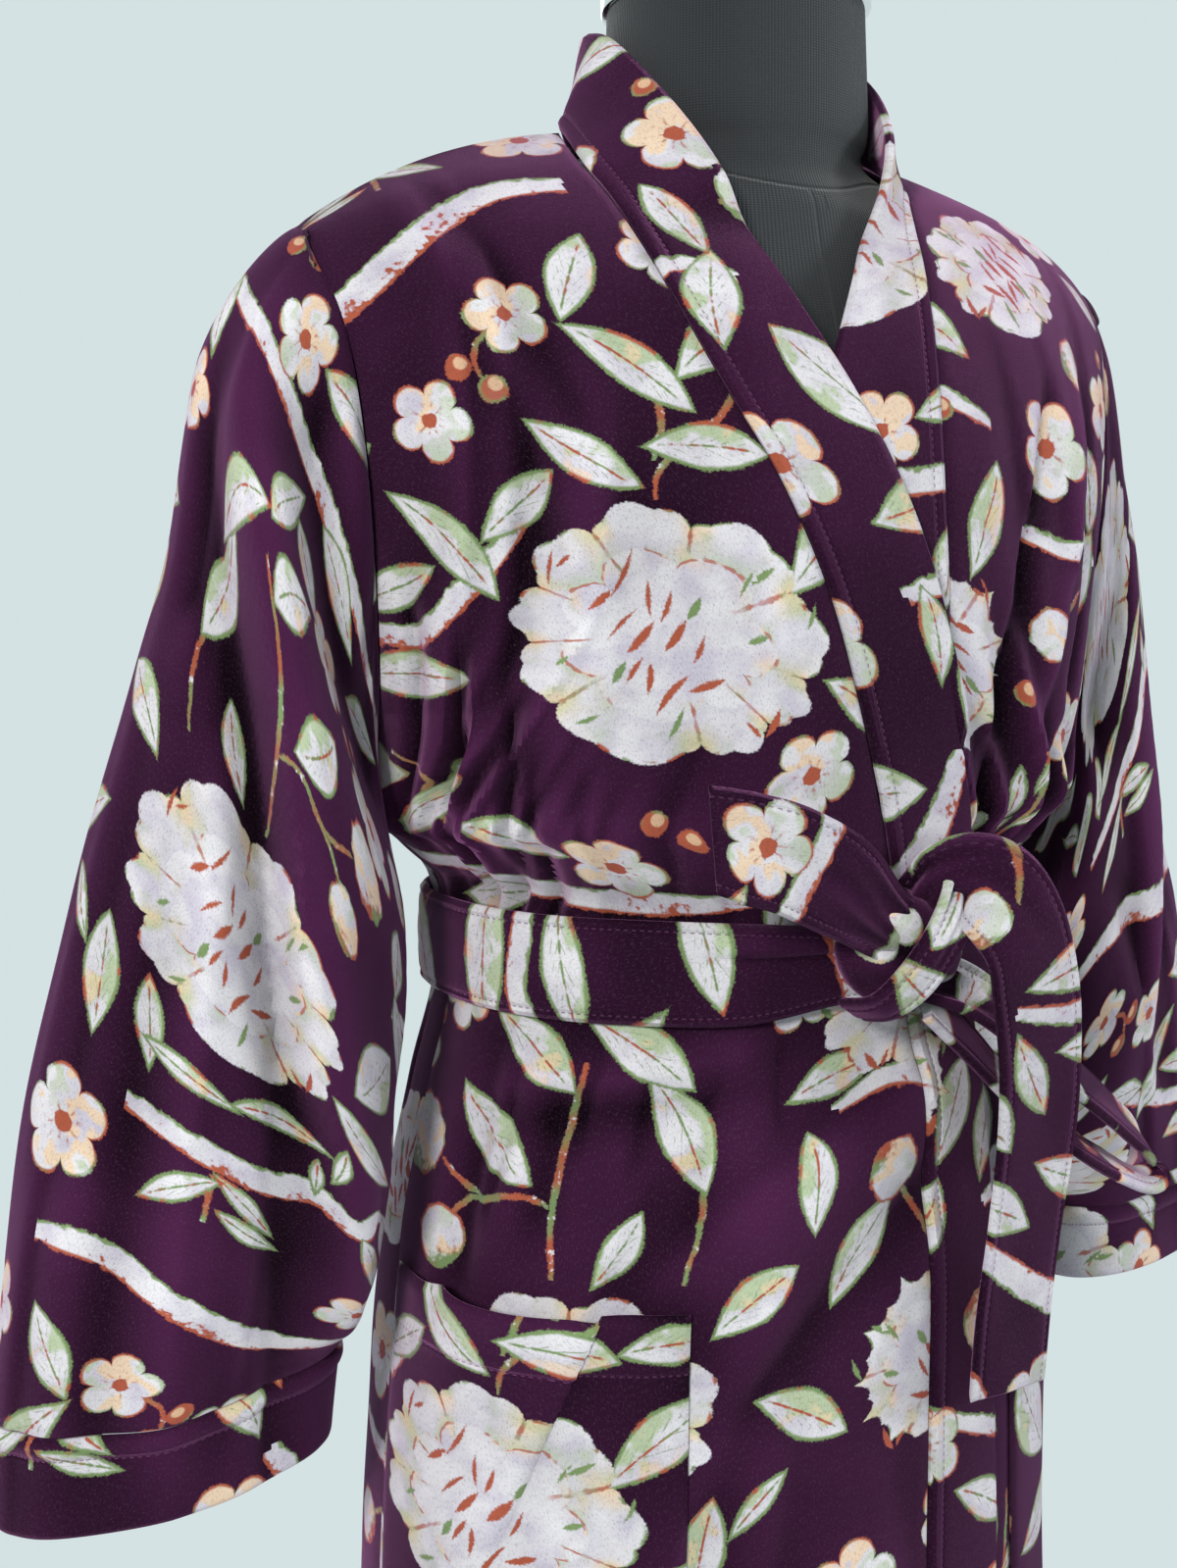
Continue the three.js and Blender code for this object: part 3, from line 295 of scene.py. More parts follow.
def bodySurface(facing, angle, place, fine=1.0):
    row = readAlong(bodyRows, place)
    edge = row["edgeFront"] if facing < 0 else row["edgeBack"]
    depth = row["front"] if facing < 0 else row["back"]
    quarter = angle * row["turn"]
    edgeSin = np.sin(row["turn"] * math.pi / 2) ** (2 / sectionPower)
    across = signedPower(np.sin(quarter), 2 / sectionPower) / edgeSin
    last = np.maximum(np.cos(row["turn"] * math.pi / 2), 0) ** (2 / sectionPower)
    inward = (np.maximum(np.cos(quarter), 0) ** (2 / sectionPower) - last) / (1 - last)
    x = row["shift"] + row["half"] * across
    y = edge + (depth - edge) * inward
    z = row["z"] + (row["edgeZ"] - row["z"]) * np.abs(across) ** shoulderDroop
    out = np.stack([np.sin(quarter) * np.abs(depth), facing * np.cos(quarter) * row["half"], 0 * x], -1)
    out = unit(out)
    flat = angle / degree
    turned = flat if facing < 0 else np.where(flat >= 0, 180.0, -180.0) - flat
    push = foldDepth(mainFolds, turned, z)
    if fine:
        calm = 1 - ease(1385, 1410, z)
        lines = [([(a * degreeRun, b) for a, b in points], *rest) for points, *rest in bodyLines]
        bent = lineFolds(lines, -facing, turned * degreeRun, z)
        push = push + fine * calm * (foldDepth(fineFolds, turned, z) + bent + softRipple(x, y, z))
    point = np.stack([x, y, z], -1)
    return point - out * push[..., None]


def angleAt(x, place):
    row = readAlong(bodyRows, place)
    edgeSin = np.sin(row["turn"] * math.pi / 2) ** (2 / sectionPower)
    across = np.clip((x - row["shift"]) / row["half"], -1, 1) * edgeSin
    return np.arcsin(signedPower(across, sectionPower / 2)) / row["turn"]


def rightLift(x, place):
    return overlapLift * ease(-95, -50, x) * (1 - ease(neckStart - 2, shoulder - 1, place))


def neckAngle(side):
    x = np.array(neckRight if side < 0 else neckLeft, float)
    return abs(float(angleAt(x, np.array(float(shoulder)))))


def neckTop(angle):
    reach = np.where(angle < 0, neckAngle(-1), neckAngle(1))
    part = np.minimum(np.abs(angle) / reach, 1)
    return shoulder - neckDrop * (1 - part**3)


def gridNormals(points, closed=False, flip=1):
    if closed:
        du = np.roll(points, -1, 0) - np.roll(points, 1, 0)
    else:
        du = np.gradient(points, axis=0)
    dv = np.gradient(points, axis=1)
    return unit(np.cross(du, dv)) * flip


def nudgeAngle(angle, place, distance):
    row = readAlong(bodyRows, place)
    radius = np.hypot(row["half"] * np.cos(angle), np.abs(row["front"]) * np.sin(angle))
    return angle + distance / np.maximum(radius, 40)


def evenPlaces(count, low=0.0, high=22.0):
    # places in bodyRows that are evenly spaced along the front
    fineAt = np.linspace(low, high, 1200)
    z = readAlong(bodyRows, fineAt)
    front = np.stack([z["z"], z["front"]], -1)
    run = np.concatenate([[0], np.cumsum(np.linalg.norm(np.diff(front, axis=0), axis=1))])
    return np.interp(np.linspace(0, run[-1], count), run, fineAt)


# The printed motifs, in millimetres on the flat cloth, round the large bloom on the chest.
# wide and high are the distances at which the pattern repeats.
printSettings = {"wide": 440.0, "high": 700.0}

bloomTable = makeTable("x y halfWide halfHigh turn size", [
    [0, 0, 70, 53, 4, 70],
    [56, -362, 68, 52, -12, 68],
    [176, 12, 50, 44, 20, -50],
    [-172, -292, 50, 42, -15, -48],
    [150, 180, 52, 42, 35, 52], [176, -242, 45, 39, -25, -44], [-196, 192, 43, 37, 15, 44],
])
# size below 0 is a bud or berry
blossomTable = makeTable("x y turn size", [
    [-66, 172, 10, 19], [-106, 138, 40, 20], [22, -228, 65, 17], [-22, -266, 15, 17.5], [-82, -174, 30, 20.5],
    [-164, -104, 5, 25], [134, -82, 50, 21], [92, 176, 70, 17], [120, -420, 25, 19], [-148, -462, 0, 20],
    [196, -372, 45, 18], [30, -462, 20, 19], [-184, 106, 20, 22], [-146, -24, 75, 23], [68, -122, 110, 22],
    [94, -206, 10, 18], [188, -62, 35, 18],
    [-86, 104, 150, -19], [-66, 64, 200, -14.5], [146, 96, 60, -15], [-186, 24, 250, -14],
    [118, -452, 120, -14], [-112, -412, 45, -15.5], [-150, 150, 100, -15],
    [-104, 168, 0, -6.1], [-88, 156, 0, -6.4], [-4, -247, 0, -6.2], [8, -258, 0, -6.6], [58, -438, 0, -6.3],
    [72, -446, 0, -6.1], [186, 118, 0, -6.2], [-206, -2, 0, -6.5],
])
# size is half the width, bend is in half widths
leafTable = makeTable("x y turn halfLong size bend layer", [
    [-22, 150, -38, 25, 10.5, 0.25, 0], [-38, 113, -44, 27, 11, -0.2, 1], [26, 152, -32, 27, 10, 0.2, 1],
    [44, 118, -62, 28, 10.4, 0.3, 0], [-8, 186, -70, 22, 9.6, 0.1, 0], [-36, 184, 30, 20, 8.8, 0.1, 1],
    [-98, 12, 128, 31, 15.5, 0.2, 1], [-90, -38, 24, 28, 11.2, -0.3, 0], [-132, 52, 68, 25, 10.3, 0.2, 0],
    [-128, 96, 100, 21, 8.6, -0.2, 1],
    [-34, -66, -12, 27, 5.6, 0.9, 0], [14, -70, 4, 25, 5.2, -0.2, 1], [-64, -62, 110, 14, 4.4, 0.3, 1],
    [-52, -78, 95, 11, 3.9, 0, 0], [38, -62, 78, 18, 7.4, 0.1, 0], [66, -58, 84, 24, 9.4, 0.1, 1],
    [88, -38, 50, 18, 5.1, 0.2, 0],
    [-20, -118, 32, 20, 5.3, 0.2, 0], [-24, -130, 18, 18, 5.1, -0.2, 1], [-6, -132, -62, 17, 5.7, 0.2, 0],
    [10, -122, -36, 21, 5.9, 0.2, 1], [-2, -112, 70, 10, 4.1, 0, 1],
    [-88, -122, 62, 24, 9.8, 0.3, 1], [-108, -100, 84, 22, 7.4, -0.2, 0],
    [53, -216, 62, 21, 9.2, 0, 0], [62, -256, -44, 28, 9.4, 0.2, 1], [104, -250, 28, 27, 10.1, 0.3, 0],
    [36, -288, -38, 25, 8.7, -0.2, 0], [84, -292, -8, 24, 8.9, 0.2, 1], [-34, -316, -52, 31, 9.1, 0.3, 1],
    [2, -306, 32, 22, 8.3, 0.1, 0], [-66, -330, 12, 25, 8.5, -0.2, 0], [-70, -372, -4, 34, 10.7, 0.2, 1],
    [-104, -330, 70, 22, 8.1, 0.2, 0], [128, -330, 40, 28, 10.9, 0.2, 1],
    [-166, -172, 6, 38, 13.5, 0.15, 0], [-190, -212, 96, 23, 12.2, 0.1, 1],
    [-124, -268, 24, 27, 10.6, -0.2, 0],
    [-126, -318, 64, 24, 9.9, 0.2, 1], [-212, -332, 120, 24, 9.3, 0.2, 0],
    [-206, -96, 35, 15, 4.5, 0.3, 0], [-192, -80, 20, 16, 4.6, -0.3, 1], [-214, -74, 78, 15, 4.2, 0.2, 1],
    [-194, -58, 40, 16, 4.3, 0.2, 0], [-216, -50, 84, 15, 4.7, -0.2, 0], [-198, -36, 56, 15, 4.4, 0.2, 1],
    [134, 62, 58, 26, 10.2, 0.2, 1], [204, 72, 70, 25, 9.5, -0.2, 0], [184, 158, -34, 29, 9.7, 0.3, 1],
    [112, 136, 20, 22, 8.2, 0.2, 0], [160, -112, 15, 16, 4.8, 0.3, 1], [176, -96, 60, 15, 4.6, -0.3, 0],
    [170, -126, -20, 16, 5.0, 0.2, 0], [192, -118, 5, 17, 4.9, 0.2, 1],
    [204, -172, -52, 30, 11.3, 0.2, 0], [152, -186, 18, 25, 9.1, 0.2, 1], [110, -150, 80, 21, 8.4, -0.2, 0],
    [142, -394, -30, 24, 9.2, 0.2, 0], [196, -424, 44, 26, 10.3, -0.2, 1],
    [-62, -428, 38, 28, 10.8, 0.2, 0], [-12, -446, -20, 26, 9.3, 0.2, 1], [92, -486, 62, 24, 8.8, 0.2, 0],
    [-186, -418, 30, 15, 4.9, 0.3, 0], [-178, -398, 55, 15, 4.5, -0.3, 1], [-204, -400, 82, 15, 4.4, 0.2, 1],
    [-60, -486, 5, 26, 9.6, 0.2, 1], [-20, 216, 15, 22, 8.6, 0.2, 1],
    [82, 48, 38, 22, 9.5, 0.2, 0], [104, 94, 100, 20, 8.5, -0.2, 1], [106, -4, -22, 22, 9.5, 0.2, 0],
    [-76, -278, 20, 24, 9, 0.2, 1], [-148, 334, 60, 22, 9, -0.2, 0], [-112, 204, -30, 22, 9, 0.2, 1],
    [-208, -134, 82, 20, 8, 0.2, 0], [22, 70, 58, 18, 7.5, -0.2, 1], [128, -290, 8, 20, 8, 0.2, 0],
])
for name, more in (("size", 1.12), ("halfLong", 1.08)):
    leafTable[name] = leafTable[name] * more


def wrapped(dx, dy):
    # offsets to the nearest repeat of the pattern
    wide, high = printSettings["wide"], printSettings["high"]
    return dx - wide * np.round(dx / wide), dy - high * np.round(dy / high)


def leavesMeet(a, b):
    # whether leaf a reaches into leaf b
    t = leafTable
    round16 = np.arange(16) / 16 * 2 * math.pi
    p = np.concatenate([np.cos(round16), 0.5 * np.cos(round16)]) * t["halfLong"][a]
    q = np.concatenate([np.sin(round16) * 0.75, 0.4 * np.sin(round16)]) * t["size"][a]
    c, s = math.cos(t["turn"][a] * degree), math.sin(t["turn"][a] * degree)
    dx, dy = t["x"][a] + p * c - q * s - t["x"][b], t["y"][a] + p * s + q * c - t["y"][b]
    dx, dy = wrapped(dx, dy)
    c, s = math.cos(t["turn"][b] * degree), math.sin(t["turn"][b] * degree)
    p, q = (dx * c + dy * s) / t["halfLong"][b], (-dx * s + dy * c) / t["size"][b]
    return bool((np.hypot(p, q / 0.9) < 1).any())


def sortLeaves():
    # leaves that meet are printed in different layers, and a third one at one place is left out
    kept = []
    for k in range(len(leafTable["x"])):
        for layer in (leafTable["layer"][k], 1 - leafTable["layer"][k]):
            near = [other for other in kept if leafTable["layer"][other] == layer]
            if not any(leavesMeet(k, other) or leavesMeet(other, k) for other in near):
                leafTable["layer"][k] = layer
                kept.append(k)
                break
    return {name: column[kept] for name, column in leafTable.items()}


leafTable = sortLeaves()
blossomTable["size"] = blossomTable["size"] * 1.08
# Curved branches and stems: their points, half width, and 1 for a branch.
branchTable = [
    ([(-118, -84), (-92, -78), (-74, -96), (-52, -88), (-30, -98), (4, -100), (44, -98)], 7.2, 1),
    ([(-140, -262), (-112, -241), (-80, -222), (-39, -205), (0, -182), (36, -166), (70, -168)], 8.2, 1),
    ([(-112, -362), (-82, -350), (-52, -352), (-20, -330), (8, -304)], 5.8, 1),
    ([(-214, -244), (-186, -238), (-150, -218), (-122, -184), (-104, -150)], 8.6, 1),
    ([(112, 122), (140, 134), (172, 130), (214, 112)], 5.6, 1),
    ([(116, -336), (150, -318), (184, -306), (222, -276)], 6.6, 1),
    ([(-150, -446), (-96, -466), (-24, -478), (50, -484), (112, -470)], 6.2, 1),
    ([(-206, 70), (-170, 62), (-140, 72), (-118, 60)], 5.2, 1),
    ([(-4, 54), (-6, 70), (-7, 86), (-3, 118), (4, 150)], 1.9, 0),
    ([(-7, 84), (-25, 89), (-46, 84), (-70, 98)], 1.6, 0),
    ([(-62, 72), (-52, 82), (-42, 84)], 1.5, 0),
    ([(50, 54), (57, 88), (48, 124), (30, 146)], 1.6, 0),
    ([(22, -228), (4, -240), (4, -252)], 1.4, 0),
    ([(62, -296), (70, -270), (56, -240)], 1.6, 0),
    ([(60, -312), (66, -296), (96, -276), (106, -256)], 1.6, 0),
    ([(-2, -136), (-2, -122), (-2, -106)], 1.5, 0),
    ([(-212, -112), (-206, -76), (-200, -26)], 1.5, 0),
    ([(172, 58), (158, 82), (150, 96)], 1.6, 0),
    ([(148, -122), (172, -112), (200, -106)], 1.5, 0),
    ([(-196, -424), (-192, -404), (-190, -384)], 1.4, 0),
    ([(-96, -404), (-74, -424), (-50, -438)], 1.5, 0),
    ([(-148, 48), (-166, 36), (-184, 26)], 1.5, 0),
]
# Brush strokes inside a bloom, as shares of its half size: place, turn, half length, half
# width, bend, and 1 for rust or -1 for green.
strokeTable = makeTable("x y turn halfLong halfWide bend tone", [
    [0.02, 0.22, 100, 7, 1.3, 0.4, 1], [0.12, 0.26, 76, 8, 1.2, -0.5, 1],
    [-0.06, 0.02, 116, 8.5, 1.9, 0.3, 1],
    [-0.2, -0.06, 106, 7.5, 1.2, 0.6, 1], [0.14, -0.04, 122, 9.5, 1.9, 0.2, 1],
    [0.26, 0.04, 126, 9, 1.1, -0.4, 1],
    [0.06, -0.34, 82, 7.5, 1.4, 0.4, 1], [0.15, -0.3, 112, 7, 1.3, -0.3, 1],
    [-0.28, -0.32, 150, 8.5, 1.7, 0.2, 1],
    [-0.1, -0.44, 118, 11, 1.6, -0.9, 1], [0.3, 0.42, 112, 12, 1.2, 0.8, 1],
    [0.42, 0.2, 136, 7.5, 1.8, 0.1, 1],
    [0.74, 0.4, 94, 8, 1.2, -0.6, 1], [0.66, 0.46, 140, 5, 1.1, 0.2, 1], [-0.72, -0.5, 100, 7, 1.7, 0.5, 1],
    [-0.62, -0.58, 32, 5.5, 1.1, 0.3, 1], [-0.5, 0.56, 140, 7.5, 1.5, 0.3, -1],
    [-0.42, 0.48, 112, 6, 1.0, -0.2, -1],
    [-0.54, 0.1, 154, 5, 1.6, 0, -1], [-0.14, 0.24, 112, 5.5, 2.0, 0.2, -1],
    [0.24, -0.34, 110, 6, 1.9, 0, -1],
    [-0.16, -0.66, 100, 8.5, 1.4, 0.3, -1], [0.6, -0.3, 140, 4.5, 1.2, 0, -1],
    [-0.84, 0.34, 100, 6, 1.2, 0.6, -1],
    [0.36, -0.72, 150, 6, 1.2, 0.3, -1],
])


def strokeRows():
    rows = []
    for k in range(len(bloomTable["x"])):
        turn = bloomTable["turn"][k] * degree
        flip = 1 if k % 2 == 0 else -1
        for s in range(len(strokeTable["x"])):
            u = strokeTable["x"][s] * bloomTable["halfWide"][k] * flip
            v = strokeTable["y"][s] * bloomTable["halfHigh"][k]
            x = bloomTable["x"][k] + u * math.cos(turn) - v * math.sin(turn)
            y = bloomTable["y"][k] + u * math.sin(turn) + v * math.cos(turn)
            angle = strokeTable["turn"][s] if flip > 0 else 180 - strokeTable["turn"][s]
            rows.append([
                x, y, angle + bloomTable["turn"][k], strokeTable["halfLong"][s] * 0.9,
                strokeTable["halfWide"][s] * strokeTable["tone"][s], strokeTable["bend"][s] * flip, 0])
    return makeTable("x y turn halfLong size bend layer", rows)


farAway = np.array([60.0, 60.0, 10.0])


def stampShapes(corners, shapes, reachOf, pointed=False):
    # each face's corners in the frame of the motif that it lies deepest in
    centre = corners.mean(1)
    best = np.full(len(corners), -6.0)
    chosen = np.full(len(corners), -1)
    reach = np.array([reachOf(shapes, k) for k in range(len(shapes["x"]))], float)
    for k in range(len(reach)):
        dx, dy = wrapped(centre[:, 0] - shapes["x"][k], centre[:, 1] - shapes["y"][k])
        turn = shapes["turn"][k] * degree
        p = (dx * math.cos(turn) + dy * math.sin(turn)) / reach[k, 0]
        q = (-dx * math.sin(turn) + dy * math.cos(turn)) / reach[k, 1]
        if pointed:
            q = q - shapes["bend"][k] * (1 - np.minimum(p * p, 4))
            inside = ((1 - np.abs(p) ** 1.8) * (1 + 0.18 * np.clip(p, -1, 1)) - np.abs(q)) * reach[k, 1]
        else:
            inside = (1 - np.hypot(p, q)) * reach[k].min()
        deeper = inside > best
        best[deeper] = inside[deeper]
        chosen[deeper] = k
    out = np.broadcast_to(farAway, (len(corners), 4, 3)).copy()
    on = np.nonzero(chosen >= 0)[0]
    if not len(on):
        return out
    k = chosen[on]
    wx, wy = wrapped(centre[on, 0] - shapes["x"][k], centre[on, 1] - shapes["y"][k])
    dx = corners[on, :, 0] - centre[on, 0][:, None] + wx[:, None]
    dy = corners[on, :, 1] - centre[on, 1][:, None] + wy[:, None]
    turn = (shapes["turn"][k] * degree)[:, None]
    p = (dx * np.cos(turn) + dy * np.sin(turn)) / reach[k, 0][:, None]
    q = (-dx * np.sin(turn) + dy * np.cos(turn)) / reach[k, 1][:, None]
    if pointed:
        q = q - shapes["bend"][k][:, None] * (1 - np.minimum(p * p, 4))
    out[on, :, 0] = p
    out[on, :, 1] = q
    out[on, :, 2] = shapes["size"][k][:, None]
    return out


def curvePoints(points, step=5.0):
    source = np.array(points, float)
    fine = readAlong({"x": source[:, 0], "y": source[:, 1]}, np.linspace(0, len(source) - 1, 400))
    line = np.stack([fine["x"], fine["y"]], -1)
    run = np.concatenate([[0], np.cumsum(np.linalg.norm(np.diff(line, axis=0), axis=1))])
    at = np.linspace(0, run[-1], max(int(run[-1] / step), 4))
    return np.stack([np.interp(at, run, line[:, 0]), np.interp(at, run, line[:, 1])], -1), at


def stampLines(corners, kind):
    # corners along and across the branch or stem that a face lies on
    centre = corners.mean(1)
    best = np.full(len(corners), 1e9)
    out = np.broadcast_to(farAway, (len(corners), 4, 3)).copy()
    for points, half, branch in branchTable:
        if branch != kind:
            continue
        line, run = curvePoints(points)
        middle = line.mean(0)
        dx, dy = wrapped(centre[:, 0] - middle[0], centre[:, 1] - middle[1])
        reach = np.abs(line - middle).max(0) + half + 14
        near = np.nonzero((np.abs(dx) < reach[0]) & (np.abs(dy) < reach[1]))[0]
        if not len(near):
            continue
        shift = np.stack([dx[near], dy[near]], -1) + middle - centre[near]
        flat = (corners[near] + shift[:, None, :]).reshape(-1, 2)
        span = line[1:] - line[:-1]
        length = np.linalg.norm(span, axis=1)
        offset = flat[:, None, :] - line[:-1][None]
        part = np.clip((offset * span[None]).sum(-1) / (length**2)[None], 0, 1)
        away = np.linalg.norm(offset - part[..., None] * span[None], axis=-1)
        which = away.argmin(1)
        rows = np.arange(len(flat))
        s = run[which] + part[rows, which] * length[which]
        cross = span[which, 0] * offset[rows, which, 1] - span[which, 1] * offset[rows, which, 0]
        distance = (away[rows, which] * np.sign(cross)).reshape(-1, 4)
        s = s.reshape(-1, 4)
        ended = (s <= 0.01) | (s >= run[-1] - 0.01)
        taken = np.abs(distance).mean(1)
        better = (taken < best[near]) & (taken < half + 9) & ~ended.any(1)
        index = near[better]
        best[index] = taken[better]
        out[index, :, 0] = s[better]
        out[index, :, 1] = distance[better]
        taper = 0.4 + 0.6 * np.sin(np.clip(s / run[-1], 0.03, 0.97) * math.pi) ** 0.5
        out[index, :, 2] = half * taper[better]
    return out


def leafReach(shapes, k):
    return shapes["halfLong"][k], abs(shapes["size"][k])


def roundReach(shapes, k):
    return abs(shapes["size"][k]), abs(shapes["size"][k])


def bloomReach(shapes, k):
    return shapes["halfWide"][k], shapes["halfHigh"][k]


def pickRows(table, mask):
    return {name: column[mask] for name, column in table.items()}


def stampLeaves(corners, rows, chosen):
    return stampShapes(corners, pickRows(rows, chosen), leafReach, True)


strokes = strokeRows()
printLayers = [
    ("branch", lambda corners: stampLines(corners, 1)),
    ("stem", lambda corners: stampLines(corners, 0)),
    ("leafLow", lambda corners: stampLeaves(corners, leafTable, leafTable["layer"] == 0)),
    ("leafHigh", lambda corners: stampLeaves(corners, leafTable, leafTable["layer"] == 1)),
    ("blossom", lambda corners: stampShapes(corners, blossomTable, roundReach)),
    ("bloom", lambda corners: stampShapes(corners, bloomTable, bloomReach)),
    ("rustStroke", lambda corners: stampLeaves(corners, strokes, strokes["size"] > 0)),
    ("greenStroke", lambda corners: stampLeaves(corners, strokes, strokes["size"] < 0)),
]


def addCornerVectors(mesh, name, values):
    attribute = mesh.attributes.new(name, "FLOAT_VECTOR", "CORNER")
    attribute.data.foreach_set("vector", np.ascontiguousarray(values, np.float32).ravel())


def addPrint(mesh, corners, printed):
    # corners holds each face's flat places, printed says which faces show the pile
    for name, stamp in printLayers:
        values = np.broadcast_to(farAway, (len(corners), 4, 3)).copy()
        values[printed] = stamp(corners[printed])
        addCornerVectors(mesh, name, values)
    addCornerVectors(mesh, "cut", np.concatenate([corners, np.zeros((len(corners), 4, 1))], -1))


class Sum:
    # a shader value that Python sums work on
    def __init__(self, shader, socket):
        self.shader, self.socket = shader, socket

    def join(self, operation, *values, clamp=False):
        return self.shader.node(
            "ShaderNodeMath", {"operation": operation, "use_clamp": clamp}, dict(enumerate(values)))

    def __add__(self, other):
        return self.join("ADD", self, other)

    def __radd__(self, other):
        return self.join("ADD", other, self)

    def __sub__(self, other):
        return self.join("SUBTRACT", self, other)

    def __rsub__(self, other):
        return self.join("SUBTRACT", other, self)

    def __mul__(self, other):
        return self.join("MULTIPLY", self, other)

    def __rmul__(self, other):
        return self.join("MULTIPLY", other, self)

    def __truediv__(self, other):
        return self.join("DIVIDE", self, other)

    def __rtruediv__(self, other):
        return self.join("DIVIDE", other, self)

    def __pow__(self, other):
        return self.join("POWER", self, other)

    def __abs__(self):
        return self.join("ABSOLUTE", self)

    def sine(self):
        return self.join("SINE", self)

    def least(self, other):
        return self.join("MINIMUM", self, other)

    def most(self, other):
        return self.join("MAXIMUM", self, other)

    def rise(self, low, high):
        return self.shader.node("ShaderNodeMapRange", {"interpolation_type": "SMOOTHSTEP"}, {
            "Value": self, "From Min": low, "From Max": high})


class Shader:
    def __init__(self, name):
        self.material = bpy.data.materials.new(name)
        self.material.use_nodes = True
        self.tree = self.material.node_tree
        self.principled = self.tree.nodes["Principled BSDF"]

    def node(self, kind, settings=None, values=None, output=0):
        made = self.tree.nodes.new(kind)
        for name, setting in (settings or {}).items():
            if name == "stops":
                ramp = made.color_ramp.elements
                while len(ramp) < len(setting):
                    ramp.new(0.5)
                for stop, (place, colour) in zip(ramp, setting):
                    stop.position, stop.color = place, (*colour, 1)
            else:
                setattr(made, name, setting)
        for socket, value in (values or {}).items():
            self.put(made.inputs[socket], value)
        return Sum(self, made.outputs[output])

    def put(self, socket, value):
        if isinstance(value, Sum):
            self.tree.links.new(value.socket, socket)
        elif socket.type == "RGBA":
            socket.default_value = (*value, 1)
        else:
            socket.default_value = value

    def mix(self, factor, first, second):
        return self.node("ShaderNodeMix", {"data_type": "RGBA"}, {0: factor, 6: first, 7: second}, 2)

    def tint(self, colour, factor):
        # a colour made darker or lighter by a value
        grey = self.node("ShaderNodeCombineXYZ", {}, {0: factor, 1: factor, 2: factor})
        return self.node("ShaderNodeVectorMath", {"operation": "MULTIPLY"}, {0: colour, 1: grey})

    def noise(self, vector, scale, detail=2.0, roughness=0.5):
        return self.node("ShaderNodeTexNoise", {}, {
            "Vector": vector, "Scale": scale, "Detail": detail, "Roughness": roughness}) - 0.5

    def attribute(self, name):
        return self.node("ShaderNodeAttribute", {"attribute_name": name}, {}, "Vector")

    def parts(self, vector):
        apart = self.node("ShaderNodeSeparateXYZ", {}, {0: vector})
        return [Sum(self, apart.socket.node.outputs[k]) for k in range(3)]

    def set(self, **values):
        for name, value in values.items():
            self.put(self.principled.inputs[name.replace("_", " ")], value)

    def bump(self, height, distance, strength=1.0, below=None):
        values = {"Height": height, "Distance": distance, "Strength": strength}
        if below is not None:
            values["Normal"] = below
        return self.node("ShaderNodeBump", {}, values)


printColours = {
    "ground": (0.0128, 0.0025, 0.0108),
    "pale": (0.44, 0.425, 0.445),
    "lavender": (0.345, 0.32, 0.375),
    "sage": (0.120, 0.175, 0.072),
    "mint": (0.26, 0.32, 0.185),
    "rust": (0.25, 0.060, 0.032),
    "peach": (0.50, 0.36, 0.23),
}


